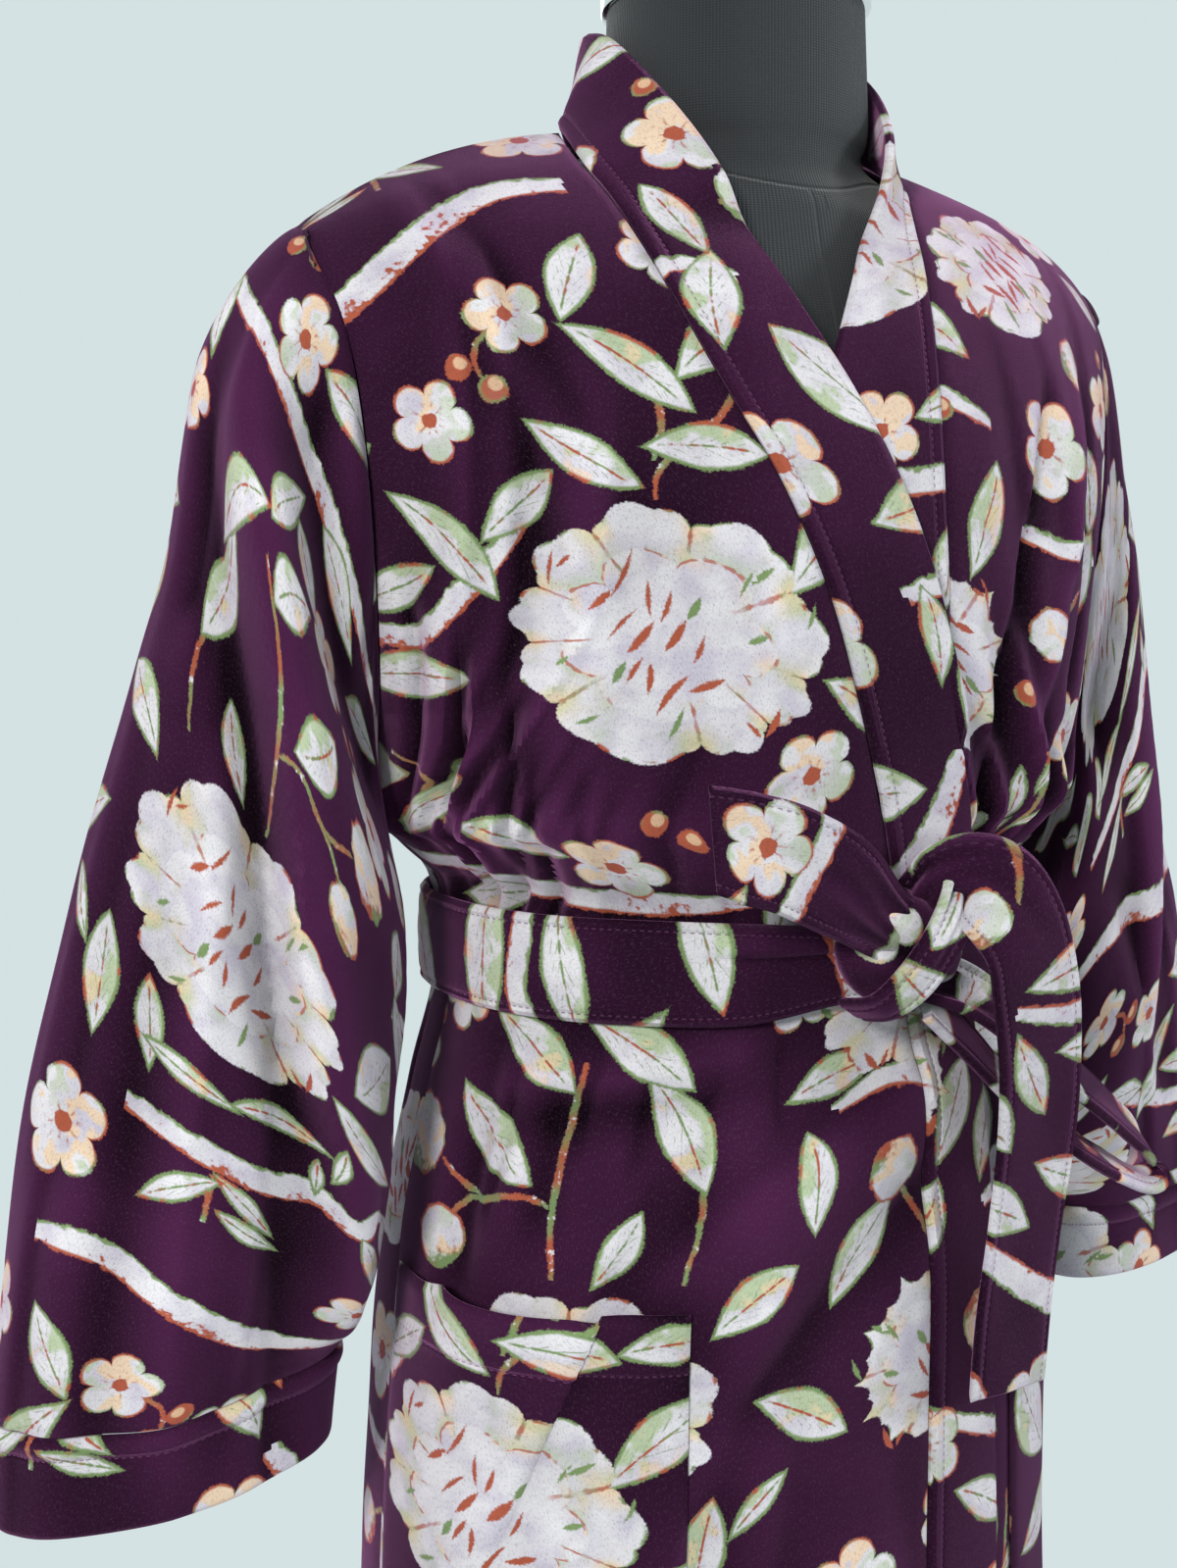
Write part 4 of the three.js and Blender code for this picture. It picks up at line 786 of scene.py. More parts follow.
def printedVelvet(name):
    shader = Shader(name)
    cut = shader.attribute("cut")
    fine = shader.noise(cut, 0.95, 2.0) * 2.6      # about 1 mm at the outlines
    grain = shader.noise(cut, 1.9, 1.0) * 2
    sway = shader.noise(cut, 0.13, 2.0) * 4
    brush = shader.noise(cut, 0.3, 2.0) * 3
    patch = shader.noise(cut, 0.055, 2.0) * 2
    ground, pale, mint = printColours["ground"], printColours["pale"], printColours["mint"]
    sage, rust, peach = printColours["sage"], printColours["rust"], printColours["peach"]
    places = shader.node("ShaderNodeTexCoord", {}, {}, "Object")
    nap = shader.noise(places, 7.0, 3.0, 0.6)
    near, run, foldShade = shader.parts(shader.attribute("seam"))
    chalk = shader.mix((patch * 1.5 + brush * 0.12 + 0.4).rise(0, 1), pale, printColours["lavender"])
    # painted shade and highlight: the colour darkens in fold hollows and lightens on ridges by the fold
    # depth, with random nap mottling on top
    foldShadeAndNap = (1.05 - foldShade * 0.3 + nap * 2.2).least(2.8).most(0.3)
    colour = shader.tint(shader.mix(0.0, ground, ground), foldShadeAndNap)

    def over(inside, tone):
        return shader.mix((inside + fine * 0.8).rise(-0.4, 0.6), colour, tone)

    across, size = shader.parts(shader.attribute("branch"))[1:]
    inside = size - abs(across + sway * 0.9) + brush * 0.8
    edged = (1.5 - inside + sway * 0.8 + brush * 0.9).rise(-0.5, 0.8)
    side = (across * 0.4 + patch * 1.2).rise(-0.6, 0.6)
    washed = shader.mix((brush * 0.5 + patch - 0.32 - across * 0.06).rise(0, 0.25), chalk, rust)
    colour = over(inside, shader.mix(edged, washed, shader.mix(side, rust, sage)))

    across, size = shader.parts(shader.attribute("stem"))[1:]
    inside = size - abs(across + sway * 0.6) + brush * 0.35
    twig = shader.mix((patch + grain * 0.3).rise(-0.3, 0.3), sage, rust)
    colour = over(inside, shader.mix((brush * 0.5 + sway * 0.2).rise(0.15, 0.4), twig, pale))

    for layer in ("leafLow", "leafHigh"):
        p, q, size = shader.parts(shader.attribute(layer))
        wide = abs(size)
        body = (1 - abs(p) ** 1.8) * (1 + p.least(1.0).most(-1.0) * 0.18)
        inside = (body - abs(q)) * wide * 0.85 + sway * 0.4 + brush * 0.2
        rim = (1.5 - inside + sway * 0.45 + brush * 0.5).rise(-0.6, 0.7)
        vein = (0.65 - abs(q + p * 0.06) * wide + brush * 0.35).rise(-0.2, 0.5)
        vein = vein * (0.78 - abs(p)).rise(0, 0.15)
        slant = abs(((abs(q) * 0.9 - p) * 13 + brush * 0.8).sine())
        ribs = (slant - 0.9).rise(0, 0.1) * (0.62 - abs(q)).rise(0, 0.2) * (0.7 - abs(p)).rise(0, 0.2)
        wash = (q * 0.9 + patch * 2.4 + brush * 0.25 - 0.15).rise(0, 0.5)
        warm = (patch * 1.8 - 0.35 - q * 0.3).rise(0, 0.3)
        within = shader.mix(warm * 0.6, shader.mix(wash * 0.85, chalk, mint), peach)
        within = shader.mix(ribs * brush.rise(-0.3, 0.5) * 0.7, within, sage)
        marked = shader.mix(patch.rise(-0.1, 0.1), sage, rust)
        within = shader.mix(vein * brush.rise(-0.7, 0.0), within, marked)
        tone = shader.mix((patch * 1.6 + sway * 0.25 - 0.2).rise(0, 0.3), sage, rust)
        colour = over(inside, shader.mix(rim, within, tone))

    p, q, size = shader.parts(shader.attribute("blossom"))
    away = (p * p + q * q) ** 0.5
    turn = shader.node("ShaderNodeMath", {"operation": "ARCTAN2"}, {0: q, 1: p})
    bent = turn + sway * 0.05
    petal = abs((bent * 2.5).sine()) ** 0.5 * 0.38 + 0.6
    flower = size.rise(-0.5, 0.5)
    reach = petal * flower + (1 - flower) * (0.86 + sway * 0.05)
    inside = (reach - away) * abs(size) + sway * 0.5 + brush * 0.2
    rim = (1.4 - inside + sway * 0.5 + brush * 0.4).rise(-0.6, 0.7) * (patch + 0.42).rise(-0.1, 0.3)
    heart = ((0.19 - away) * abs(size) + brush * 0.9).rise(-0.3, 0.5)
    ray = (abs((bent * 5 + brush * 0.5).sine()) - 0.8).rise(0, 0.2) * (0.5 - away).rise(0, 0.2)
    ray = ray * brush.rise(-0.2, 0.3)
    berry = (8 - abs(size)).rise(0, 1)
    tone = shader.mix((patch * 1.4 + 0.1).rise(-0.2, 0.2), sage, rust)
    washed = shader.mix(((turn * 1.0 + patch * 6).sine() * 1.2 - 0.5).rise(0, 0.5) * 0.8, chalk, peach)
    greened = ((turn * 1.0 + 2.5 + patch * 6).sine() * 1.2 - 0.6).rise(0, 0.5) * 0.8 * away
    washed = shader.mix(greened, washed, mint)
    cup = (1 - flower) * (1 - berry) * (q * 0.8 + brush * 0.25 - 0.25).rise(0, 0.3)
    washed = shader.mix(cup, washed, tone)
    within = shader.mix((heart * flower + ray * 0.7 * flower).least(1.0), washed, rust)
    spot = ((0.5 - ((p - 0.2) ** 2 + (q - 0.25) ** 2) ** 0.5) * abs(size)).rise(0, 1)
    within = shader.mix(berry, within, shader.mix(spot * 0.7, rust, peach))
    colour = over(inside, shader.mix(rim, within, tone))

    p, q, size = shader.parts(shader.attribute("bloom"))
    away = (p * p + q * q) ** 0.5
    turn = shader.node("ShaderNodeMath", {"operation": "ARCTAN2"}, {0: q, 1: p})
    bent = turn + (turn * 2 + 0.7).sine() * 0.16 + (turn * 3 + 2.1).sine() * 0.09
    rounded = size.rise(-0.5, 0.5)
    soft = abs((bent * 4.5).sine()) ** 0.6 * 0.16 + abs((bent * 9 + 1).sine()) * 0.05 + 0.79
    spiky = 0.95 - abs((bent * 5.5 + sway * 0.1).sine()) ** 0.5 * 0.13 - abs((bent * 11).sine()) * 0.05
    reach = soft * rounded + spiky * (1 - rounded)
    inside = (reach - away) * abs(size) * 0.85 + sway * 0.3
    notch = (0.97 - soft + patch * 0.08).rise(0, 0.1)
    wash = (away - soft * 0.72 + sway * 0.03).rise(0, 0.2) * notch
    within = shader.mix(wash * 0.85, chalk, shader.mix((patch * 2).rise(-0.25, 0.25), peach, mint))
    wide = abs(size)
    apart = away * wide * abs((bent * 4.5).sine()) / 4.5
    outerPart = (away - 0.46 - patch * 0.2).rise(0, 0.12)
    shade = (1 - (apart / 9).least(1.0)) * outerPart * (0.5 + patch * 1.6).rise(0.1, 0.9)
    shadeColour = shader.mix((patch * 1.5 + sway * 0.1).rise(-0.25, 0.25), mint, peach)
    within = shader.mix(shade * 0.75, within, shadeColour)
    crease = (1.0 - apart + brush * 0.8).rise(-0.2, 0.6) * outerPart
    crease = crease * (brush * 0.2 - patch * 2 + 0.25).rise(0, 0.3)
    within = shader.mix(crease * 0.85, within, shader.mix((patch + sway * 0.1).rise(-0.1, 0.1), rust, sage))
    ring = 0.5 + abs((bent * 3.5 + 1.1).sine()) ** 0.6 * 0.15 + sway * 0.015
    past = (away - ring) * wide
    inner = past.rise(-0.5, 0.8) * (1 - (past / 11).least(1.0))
    innerColour = shader.mix((patch * 2 - 0.1).rise(-0.3, 0.3), printColours["lavender"], mint)
    within = shader.mix(inner * 0.6, within, innerColour)
    lobe = (0.9 - abs(past) + brush * 0.6).rise(-0.2, 0.5) * (patch * 2 + brush * 0.2).rise(0, 0.25)
    within = shader.mix(lobe * 0.8, within, shader.mix((sway * 0.5 + patch).rise(-0.1, 0.1), peach, rust))
    rim = (1.3 - inside + sway * 0.5 + brush * 0.4).rise(-0.6, 0.7)
    rim = rim * (abs(patch * 2 + sway * 0.3) - 0.25).rise(0, 0.2)
    tone = shader.mix((patch * 1.4 - sway * 0.2).rise(-0.2, 0.2), sage, rust)
    colour = over(inside, shader.mix(rim, within, tone))

    for layer, tone in (("rustStroke", rust), ("greenStroke", sage)):
        p, q, size = shader.parts(shader.attribute(layer))
        inside = (1 - p * p - abs(q)) * abs(size) + sway * 0.25 + brush * 0.25
        colour = over(inside, tone)

    # the pile: short fibres that part and show the ground, and nap brushed both ways, with painted shade
    # darkening fold hollows a little more
    x, y = shader.parts(cut)[:2]
    slewed = shader.node("ShaderNodeCombineXYZ", {}, {0: x * 1.0 + y * 0.35, 1: y * 0.42 - x * 0.15, 2: 0.0})
    fibre = shader.noise(slewed, 1.25, 3.0, 0.75)
    pile = shader.noise(cut, 1.9, 3.0, 0.75)
    streak = shader.noise(places, 34.0, 2.0)
    flecks = (fibre * 2.0 + pile * 1.0 - 0.02).rise(0, 0.45)
    colour = shader.mix(flecks * 0.5, colour, (0.05, 0.03, 0.045))
    # painted shade: print and ground a little darker again in fold hollows
    pileFoldShade = (1 - foldShade * 0.05).least(1.2).most(0.55)
    colour = shader.tint(colour, pileFoldShade + pile * 0.9 + nap * 0.4 + streak * 0.4)
    dash = (run * (math.pi / 1.6)).sine().rise(-0.4, 0.3)
    thread = (0.5 - abs(near)).rise(0, 0.35) * dash
    groove = (1.6 - abs(near)).rise(0, 1.6)
    height = pile * 0.5 + fibre * 0.35 + thread * 0.45 - groove * 0.8
    shader.set(
        Base_Color=shader.mix(thread * 0.6, colour, (0.075, 0.026, 0.062)), Roughness=0.82 + pile * 0.2,
        Normal=shader.bump(height, 0.0007, 1.0))
    shader.principled.inputs["Sheen Weight"].default_value = 0.36
    shader.principled.inputs["Sheen Roughness"].default_value = 0.3
    shader.principled.inputs["Sheen Tint"].default_value = (0.84, 0.32, 0.72, 1)
    shader.principled.inputs["Specular IOR Level"].default_value = 0.02
    return shader.material


def plainBack(name):
    # the wrong side of the velvet, a close dull weave
    shader = Shader(name)
    places = shader.node("ShaderNodeTexCoord", {}, {}, "Object")
    x, y, z = shader.parts(places)
    weave = ((x + y) * 5200).sine() * ((z - y * 0.3) * 5200).sine()
    mottle = shader.noise(places, 60.0, 3.0)
    tone = shader.mix(mottle + 0.5, (0.020, 0.007, 0.017), (0.038, 0.014, 0.032))
    shader.set(
        Base_Color=shader.tint(tone, 1 + weave * 0.15),
        Roughness=0.88 + mottle * 0.1, Normal=shader.bump(weave * 0.2 + mottle * 0.3, 0.0004, 0.7))
    shader.principled.inputs["Specular IOR Level"].default_value = 0.2
    return shader.material


def formKnit(name):
    shader = Shader(name)
    across, up, near = shader.parts(shader.attribute("knit"))
    ribs = abs((across * (math.pi / 1.5)).sine())
    loops = (up * (math.pi / 0.55) + ribs * 1.4).sine()
    places = shader.node("ShaderNodeTexCoord", {}, {}, "Object")
    fluff = shader.noise(places, 900.0, 2.0)
    mottle = shader.noise(places, 22.0, 3.0)
    tone = 0.75 + ribs * 0.45 + fluff * 0.3 + mottle * 0.35
    groove = (1.4 - abs(near)).rise(0, 1.4)
    shader.set(
        Base_Color=shader.tint(shader.mix(0.0, (0.0082, 0.0095, 0.0118), (0.0, 0.0, 0.0)), tone),
        Roughness=0.78 + fluff * 0.15,
        Normal=shader.bump(ribs * 0.5 + loops * 0.12 + fluff * 0.1 - groove * 1.6, 0.0006, 0.9))
    shader.principled.inputs["Sheen Weight"].default_value = 0.12
    shader.principled.inputs["Sheen Roughness"].default_value = 0.5
    shader.principled.inputs["Specular IOR Level"].default_value = 0.3
    return shader.material


def platedMetal(name, base, rough):
    shader = Shader(name)
    places = shader.node("ShaderNodeTexCoord", {}, {}, "Object")
    smear = shader.noise(places, 30.0, 4.0)
    scuff = shader.noise(places, 420.0, 2.0)
    tone = shader.mix(smear.rise(-0.3, 0.3), base, tuple(c * 0.86 for c in base))
    shader.set(
        Base_Color=shader.tint(tone, 1 + scuff * 0.1),
        Roughness=rough + smear * 0.12 + scuff.rise(0.1, 0.4) * 0.08,
        Normal=shader.bump(scuff, 0.0001, 0.25))
    shader.principled.inputs["Metallic"].default_value = 1.0
    return shader.material


def darkPaint(name):
    shader = Shader(name)
    places = shader.node("ShaderNodeTexCoord", {}, {}, "Object")
    peel = shader.noise(places, 700.0, 2.0)
    dust = shader.noise(places, 18.0, 4.0)
    shader.set(
        Base_Color=shader.mix(dust.rise(-0.1, 0.5) * 0.4, (0.014, 0.015, 0.017), (0.05, 0.05, 0.052)),
        Roughness=0.45 + dust * 0.25, Normal=shader.bump(peel, 0.00015, 0.4))
    return shader.material


velvet = printedVelvet("printedVelvet")
velvetBack = plainBack("velvetBack")
knit = formKnit("formKnit")
capMetal = platedMetal("capMetal", (0.86, 0.87, 0.88), 0.16)
poleMetal = platedMetal("poleMetal", (0.66, 0.67, 0.69), 0.24)
basePaint = darkPaint("basePaint")
print("materials made")


def makeObject(name, points, faces, materials, indices=None, smooth=40):
    mesh = bpy.data.meshes.new(name)
    mesh.from_pydata((np.asarray(points) / 1000).tolist(), [], np.asarray(faces).tolist())
    for material in materials:
        mesh.materials.append(material)
    if indices is not None:
        mesh.polygons.foreach_set("material_index", np.asarray(indices, np.int32))
    mesh.update()
    piece = bpy.data.objects.new(name, mesh)
    bpy.context.collection.objects.link(piece)
    bpy.ops.object.select_all(action="DESELECT")
    piece.select_set(True)
    bpy.context.view_layer.objects.active = piece
    bpy.ops.object.shade_smooth_by_angle(angle=smooth * degree)
    piece.select_set(False)
    return piece


def flatPlaces(points, closed=False, start=(0.0, 0.0), turn=0.0, middle=0.5):
    # the cloth's flat coordinates: run across each row and up a middle column
    ring = np.concatenate([points, points[:1]], 0) if closed else points
    across = np.linalg.norm(np.diff(ring, axis=0), axis=-1)
    x = np.concatenate([np.zeros((1, ring.shape[1])), np.cumsum(across, 0)], 0)
    column = int(round(middle * (len(ring) - 1)))
    x = x - x[column][None, :]
    up = np.linalg.norm(np.diff(ring[column], axis=0), axis=-1)
    y = np.concatenate([[0], np.cumsum(up)])
    y = np.broadcast_to(y[None, :], x.shape)
    c, s = math.cos(turn * degree), math.sin(turn * degree)
    return np.stack([x * c - y * s + start[0], x * s + y * c + start[1]], -1)


shadeSmoothRounds = 70      # how often the cloth is smoothed to find what lies round a place


def foldShadeDepths(outer, inner, closed):
    # how far each place lies below the cloth round it, in millimetres, which the velvet turns into painted
    # shade in hollows and painted highlight on ridges
    smooth = outer
    for step in range(shadeSmoothRounds):
        ends = [smooth[-1:], smooth[:1]] if closed else [smooth[:1], smooth[-1:]]
        ring = np.concatenate([ends[0], smooth, ends[1]], 0)
        smooth = (ring[:-2] + ring[2:] + 2 * smooth) / 4
        row = np.concatenate([smooth[:, :1], smooth, smooth[:, -1:]], 1)
        smooth = (row[:, :-2] + row[:, 2:] + 2 * smooth) / 4
    return np.clip(((smooth - outer) * unit(outer - inner)).sum(-1), -6, 8)


def clothShell(name, outer, inner, cut, closed=False, seam=None, bothPrinted=False):
    # a closed sheet between two grids, printed on its outer face and rims
    nu, nv = outer.shape[:2]
    points = np.concatenate([outer.reshape(-1, 3), inner.reshape(-1, 3)])
    i, j = np.meshgrid(np.arange(nu if closed else nu - 1), np.arange(nv - 1), indexing="ij")
    i, j = i.ravel(), j.ravel()
    nextI = (i + 1) % nu
    face = np.stack([i * nv + j, nextI * nv + j, nextI * nv + j + 1, i * nv + j + 1], -1)
    place = np.stack([i * nv + j, (i + 1) * nv + j, (i + 1) * nv + j + 1, i * nv + j + 1], -1)
    total = nu * nv
    faces = [face, face[:, ::-1] + total]
    places = [place, place[:, ::-1]]
    kinds = [np.ones(len(face)), np.full(len(face), 1 if bothPrinted else 0)]
    k = np.arange(nu if closed else nu - 1)
    nextK = (k + 1) % nu
    for edge, turned in ((0, False), (nv - 1, True)):
        a, b = k * nv + edge, nextK * nv + edge
        rim = np.stack([b, a, a + total, b + total], -1)
        pa, pb = k * nv + edge, (k + 1) * nv + edge
        rimPlace = np.stack([pb, pa, pa, pb], -1)
        faces.append(rim[:, ::-1] if turned else rim)
        places.append(rimPlace[:, ::-1] if turned else rimPlace)
        kinds.append(np.ones(len(rim)))
    if not closed:
        m = np.arange(nv - 1)
        for edge, turned in ((0, False), (nu - 1, True)):
            a, b = edge * nv + m, edge * nv + m + 1
            rim = np.stack([a, b, b + total, a + total], -1)
            rimPlace = np.stack([a, b, b, a], -1)
            faces.append(rim[:, ::-1] if turned else rim)
            places.append(rimPlace[:, ::-1] if turned else rimPlace)
            kinds.append(np.ones(len(rim)))
    faces = np.concatenate(faces)
    places = np.concatenate(places)
    printed = np.concatenate(kinds) > 0.5
    a, b, c = (points[faces[: len(face), n]] for n in range(3))
    facing = (np.cross(b - a, c - a) * (outer - inner).reshape(-1, 3)[face[:, 0]]).sum()
    if facing < 0:
        faces = faces[:, ::-1]
        places = places[:, ::-1]
    piece = makeObject(name, points, faces, [velvet, velvetBack], np.where(printed, 0, 1))
    corners = cut.reshape(-1, 2)[places]
    addPrint(piece.data, corners, printed)
    values = np.full((len(points), 3), 50.0)
    if seam is not None:
        values = np.concatenate([seam.reshape(-1, 3), seam.reshape(-1, 3)])
    # fold depth, which the velvet turns into painted shade in hollows and painted highlight on ridges
    values[:, 2] = np.tile(foldShadeDepths(outer, inner, closed).ravel(), 2)
    attribute = piece.data.attributes.new("seam", "FLOAT_VECTOR", "POINT")
    attribute.data.foreach_set("vector", values.astype(np.float32).ravel())
    return piece


def finishPiece(piece, node):
    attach(piece, "root")
    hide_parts(node)
    return piece


def declareSheet(piece):
    # hands the piece back as it is
    return piece


def runAlong(points, axis):
    steps = np.cumsum(np.linalg.norm(np.diff(points, axis=axis), axis=-1), axis)
    return np.concatenate([np.zeros_like(np.take(steps, [0], axis)), steps], axis)


def edgeRuns(points):
    # how far each place is from the grid's first and last column and row, in millimetres
    across = runAlong(points, 0)
    up = runAlong(points, 1)
    return across, across[-1:] - across, up, up[:, -1:] - up


def dip(distance, depth, width):
    return depth * np.exp(-((distance / width) ** 2))


def raised(points, normals, height):
    return points + normals * np.broadcast_to(height, points.shape[:2])[..., None]


def seamLine(distance, along):
    return np.stack([distance, np.broadcast_to(along, distance.shape), 0 * distance], -1)


frontRight = {
    "columns": 88, "rows": 420, "cloth": 1.9,
    "start": (19.0, 11.0), "flat": (0.303, 1.273), "area": 0.316,
}


def makeFrontRight():
    s = frontRight
    place = evenPlaces(s["rows"])[None, :]
    row = readAlong(bodyRows, place)
    first = nudgeAngle(-math.pi / 2, place, 0.05)
    last = nudgeAngle(angleAt(row["rightSeam"], place), place, -0.25)
    u = np.linspace(0, 1, s["columns"])[:, None]
    angle = first + (last - first) * u
    place = np.broadcast_to(place, angle.shape)
    points = bodySurface(-1, angle, place)
    points = raised(points, gridNormals(points), rightLift(points[..., 0], place))
    return finishFront("frontRightCloth", "front_right", points, s, 1)


hemLine = 38           # the hem's stitches are this far above its edge


def hemGroove(down):
    return 0.35 * ease(hemLine - 4, hemLine, down) * dip(down - hemLine, 1, 2)


def finishFront(name, node, points, s, seamSide):
    normals = gridNormals(points)
    left, right, down = edgeRuns(points)[:3]
    bandSide, sideSeam = (right, left) if seamSide > 0 else (left, right)
    sink = dip(bandSide, 1.1, 2.2) + dip(sideSeam, 0.4, 2.6) + hemGroove(down)
    thick = s["cloth"] + 1.2 * (1 - ease(36, 39, down))
    lip = dip(down, 0.9, 1.2)
    outer = raised(points, normals, -sink - lip)
    inner = raised(points, normals, -thick - 0.4 * sink + lip)
    outer[:, -1, 1] -= 0.1
    inner[:, -1, 1] -= 0.1
    cut = flatPlaces(points, start=s["start"])
    piece = clothShell(name, outer, inner, cut, seam=seamLine(down - hemLine, left))
    return declareSheet(finishPiece(piece, node))


frontLeft = {
    "columns": 66, "rows": 380, "cloth": 1.9,
    "start": (-150.0, -300.0), "flat": (0.242, 1.28), "area": 0.256,
}


def makeFrontLeft():
    s = frontLeft
    place = evenPlaces(s["rows"])[None, :]
    row = readAlong(bodyRows, place)
    first = nudgeAngle(angleAt(row["leftSeam"], place), place, 0.4)
    last = nudgeAngle(math.pi / 2, place, -0.05)
    u = np.linspace(0, 1, s["columns"])[:, None]
    angle = first + (last - first) * u
    points = bodySurface(-1, angle, np.broadcast_to(place, angle.shape))
    return finishFront("frontLeftCloth", "front_left", points, s, -1)


backCloth = {
    "sideColumns": 39, "neckColumns": 30, "rows": 330, "cloth": 1.9, "start": (40.0, 120.0),
    "flat": (0.522, 1.242), "area": 0.582,
}


def makeBack():
    s = backCloth
    total = 2 * s["sideColumns"] + s["neckColumns"]
    column = np.arange(total + 1)
    half = s["neckColumns"] / 2
    off = np.abs(column - total / 2)
    side = np.sign(total / 2 - column)
    inner = np.where(side >= 0, neckAngle(1), neckAngle(-1))
    beside = inner + (math.pi / 2 - inner) * (off - half) / s["sideColumns"]
    flat = np.where(off <= half, inner * off / half, beside)
    angle = (side * flat)[:, None]
    j = evenPlaces(s["rows"])[None, :]
    split = shoulder - 6
    top = neckTop(angle)
    place = np.where(j <= split, j, split + (top - split) * (j - split) / 6)
    angle = np.broadcast_to(angle, place.shape).copy()
    angle[0] = nudgeAngle(angle[0], place[0], -0.05)
    angle[-1] = nudgeAngle(angle[-1], place[-1], 0.05)
    points = bodySurface(1, angle, place)
    normals = gridNormals(points)
    left, right, down = edgeRuns(points)[:3]
    sink = dip(left, 0.4, 2.6) + dip(right, 0.4, 2.6) + hemGroove(down)
    thick = s["cloth"] + 1.2 * (1 - ease(36, 39, down))
    lip = dip(down, 0.9, 1.2)
    outer = raised(points, normals, -sink - lip)
    innerWall = raised(points, normals, -thick - 0.4 * sink + lip)
    outer[:, -1, 1] += 0.1
    innerWall[:, -1, 1] += 0.1
    cut = flatPlaces(points, start=s["start"])
    piece = clothShell("backCloth", outer, innerWall, cut, seam=seamLine(down - hemLine, left))
    return declareSheet(finishPiece(piece, "back"))


bandCloth = {
    "columns": 24, "rows": 430, "out": 1.2, "back": 3.2,
    "right": ((0.060, 1.434), 0.0693), "left": ((0.060, 1.417), 0.085),
}


def bandSurface(side, across, place):
    collar = rightCollar if side < 0 else leftCollar
    seamName, edgeName = ("rightSeam", "rightEdge") if side < 0 else ("leftSeam", "leftEdge")
    low = np.minimum(place, shoulder)
    row = readAlong(bodyRows, low)
    seamAngle = nudgeAngle(angleAt(row[seamName], low), low, -side * 0.35)
    edgeAngle = angleAt(row[edgeName], low)

    def onChest(angle, at):
        points = bodySurface(-1, angle, at)
        if side < 0:
            points = raised(points, gridNormals(points), rightLift(points[..., 0], at))
        return points

    angle = seamAngle + (edgeAngle - seamAngle) * across
    chest = onChest(angle, np.broadcast_to(low, (len(across), low.shape[1])))
    seam = chest[:1].copy()
    beyond = place > shoulder
    turn = side * neckAngle(side) * (1 - (place - shoulder) / 5)
    neck = bodySurface(1, turn, neckTop(turn))
    seam = np.where(beyond[..., None], neck, seam)
    seam[..., 2] += bandRise * ease(20.5, 22, place)
    # the free edge runs on from the chest into the standing collar
    lead = np.array([[16.0, 17.0, 18.0, 19.0]])
    leadRow = readAlong(bodyRows, lead)
    start = onChest(angleAt(leadRow[edgeName], lead), lead) if side > 0 else None
    if side < 0:
        lifted = bodySurface(-1, angleAt(leadRow[edgeName], lead), lead)
        ahead = bodySurface(-1, angleAt(leadRow[edgeName], lead) + 0.01, lead)
        above = bodySurface(-1, angleAt(leadRow[edgeName], lead), lead + 0.02)
        out = unit(np.cross(ahead - lifted, above - lifted))
        start = raised(lifted, out, rightLift(lifted[..., 0], lead))
    free = {name: np.concatenate([start[0, :, k], collar[name]]) for k, name in enumerate("xyz")}
    freeRow = readAlong(free, place - 16)
    freeLine = np.stack([freeRow[name] for name in "xyz"], -1)
    standing = seam + (freeLine - seam) * across[..., None]
    bow = 3 if side < 0 else 2
    standing[..., 0] -= bow * np.sin(math.pi * across) * (1 - ease(22, 27, place))
    return chest + (standing - chest) * ease(18.6, 20, place)[..., None]


def makeBand(side, name, node, start):
    s = bandCloth
    places = np.concatenate([evenPlaces(s["rows"] - 60), np.linspace(22, 27, 61)[1:]])[None, :]
    across = np.linspace(0, 1, s["columns"])[:, None] ** 0.92
    points = bandSurface(side, across, places)
    normals = gridNormals(points, flip=-side)
    normals[:, -1, 0] = 0
    normals = unit(normals)
    left, right, down = edgeRuns(points)[:3]
    roll = np.sqrt(np.clip(1 - (1 - np.minimum(right / 2.4, 1)) ** 2, 0.02, 1))
    seamRoll = np.sqrt(np.clip(1 - (1 - np.minimum((left + 0.15) / 2.0, 1)) ** 2, 0.02, 1))
    rise = 0.45 * np.exp(-(((left - 3.0) / 2.2) ** 2)) - dip(left - 6.8, 0.55, 1.1)
    swell = 0.25 * np.sin(down / 17 + 2 * np.sin(down / 71)) * np.sin(math.pi * across)
    middle = (s["out"] - s["back"]) / 2
    half = (s["out"] + s["back"]) / 2
    hem = np.sqrt(np.clip(1 - (1 - np.minimum((down + 0.1) / 2.2, 1)) ** 2, 0.02, 1))
    outer = raised(points, normals, middle + half * roll * seamRoll * hem + (rise + swell) * roll * hem)
    inner = raised(points, normals, middle - half * roll * seamRoll * hem)
    outer[:, -1, 0] = side * 0.15
    inner[:, -1, 0] = side * 0.15
    cut = flatPlaces(points, start=start)
    piece = clothShell(name, outer, inner, cut, seam=seamLine(left - 6.8, down), bothPrinted=True)
    return declareSheet(finishPiece(piece, node))


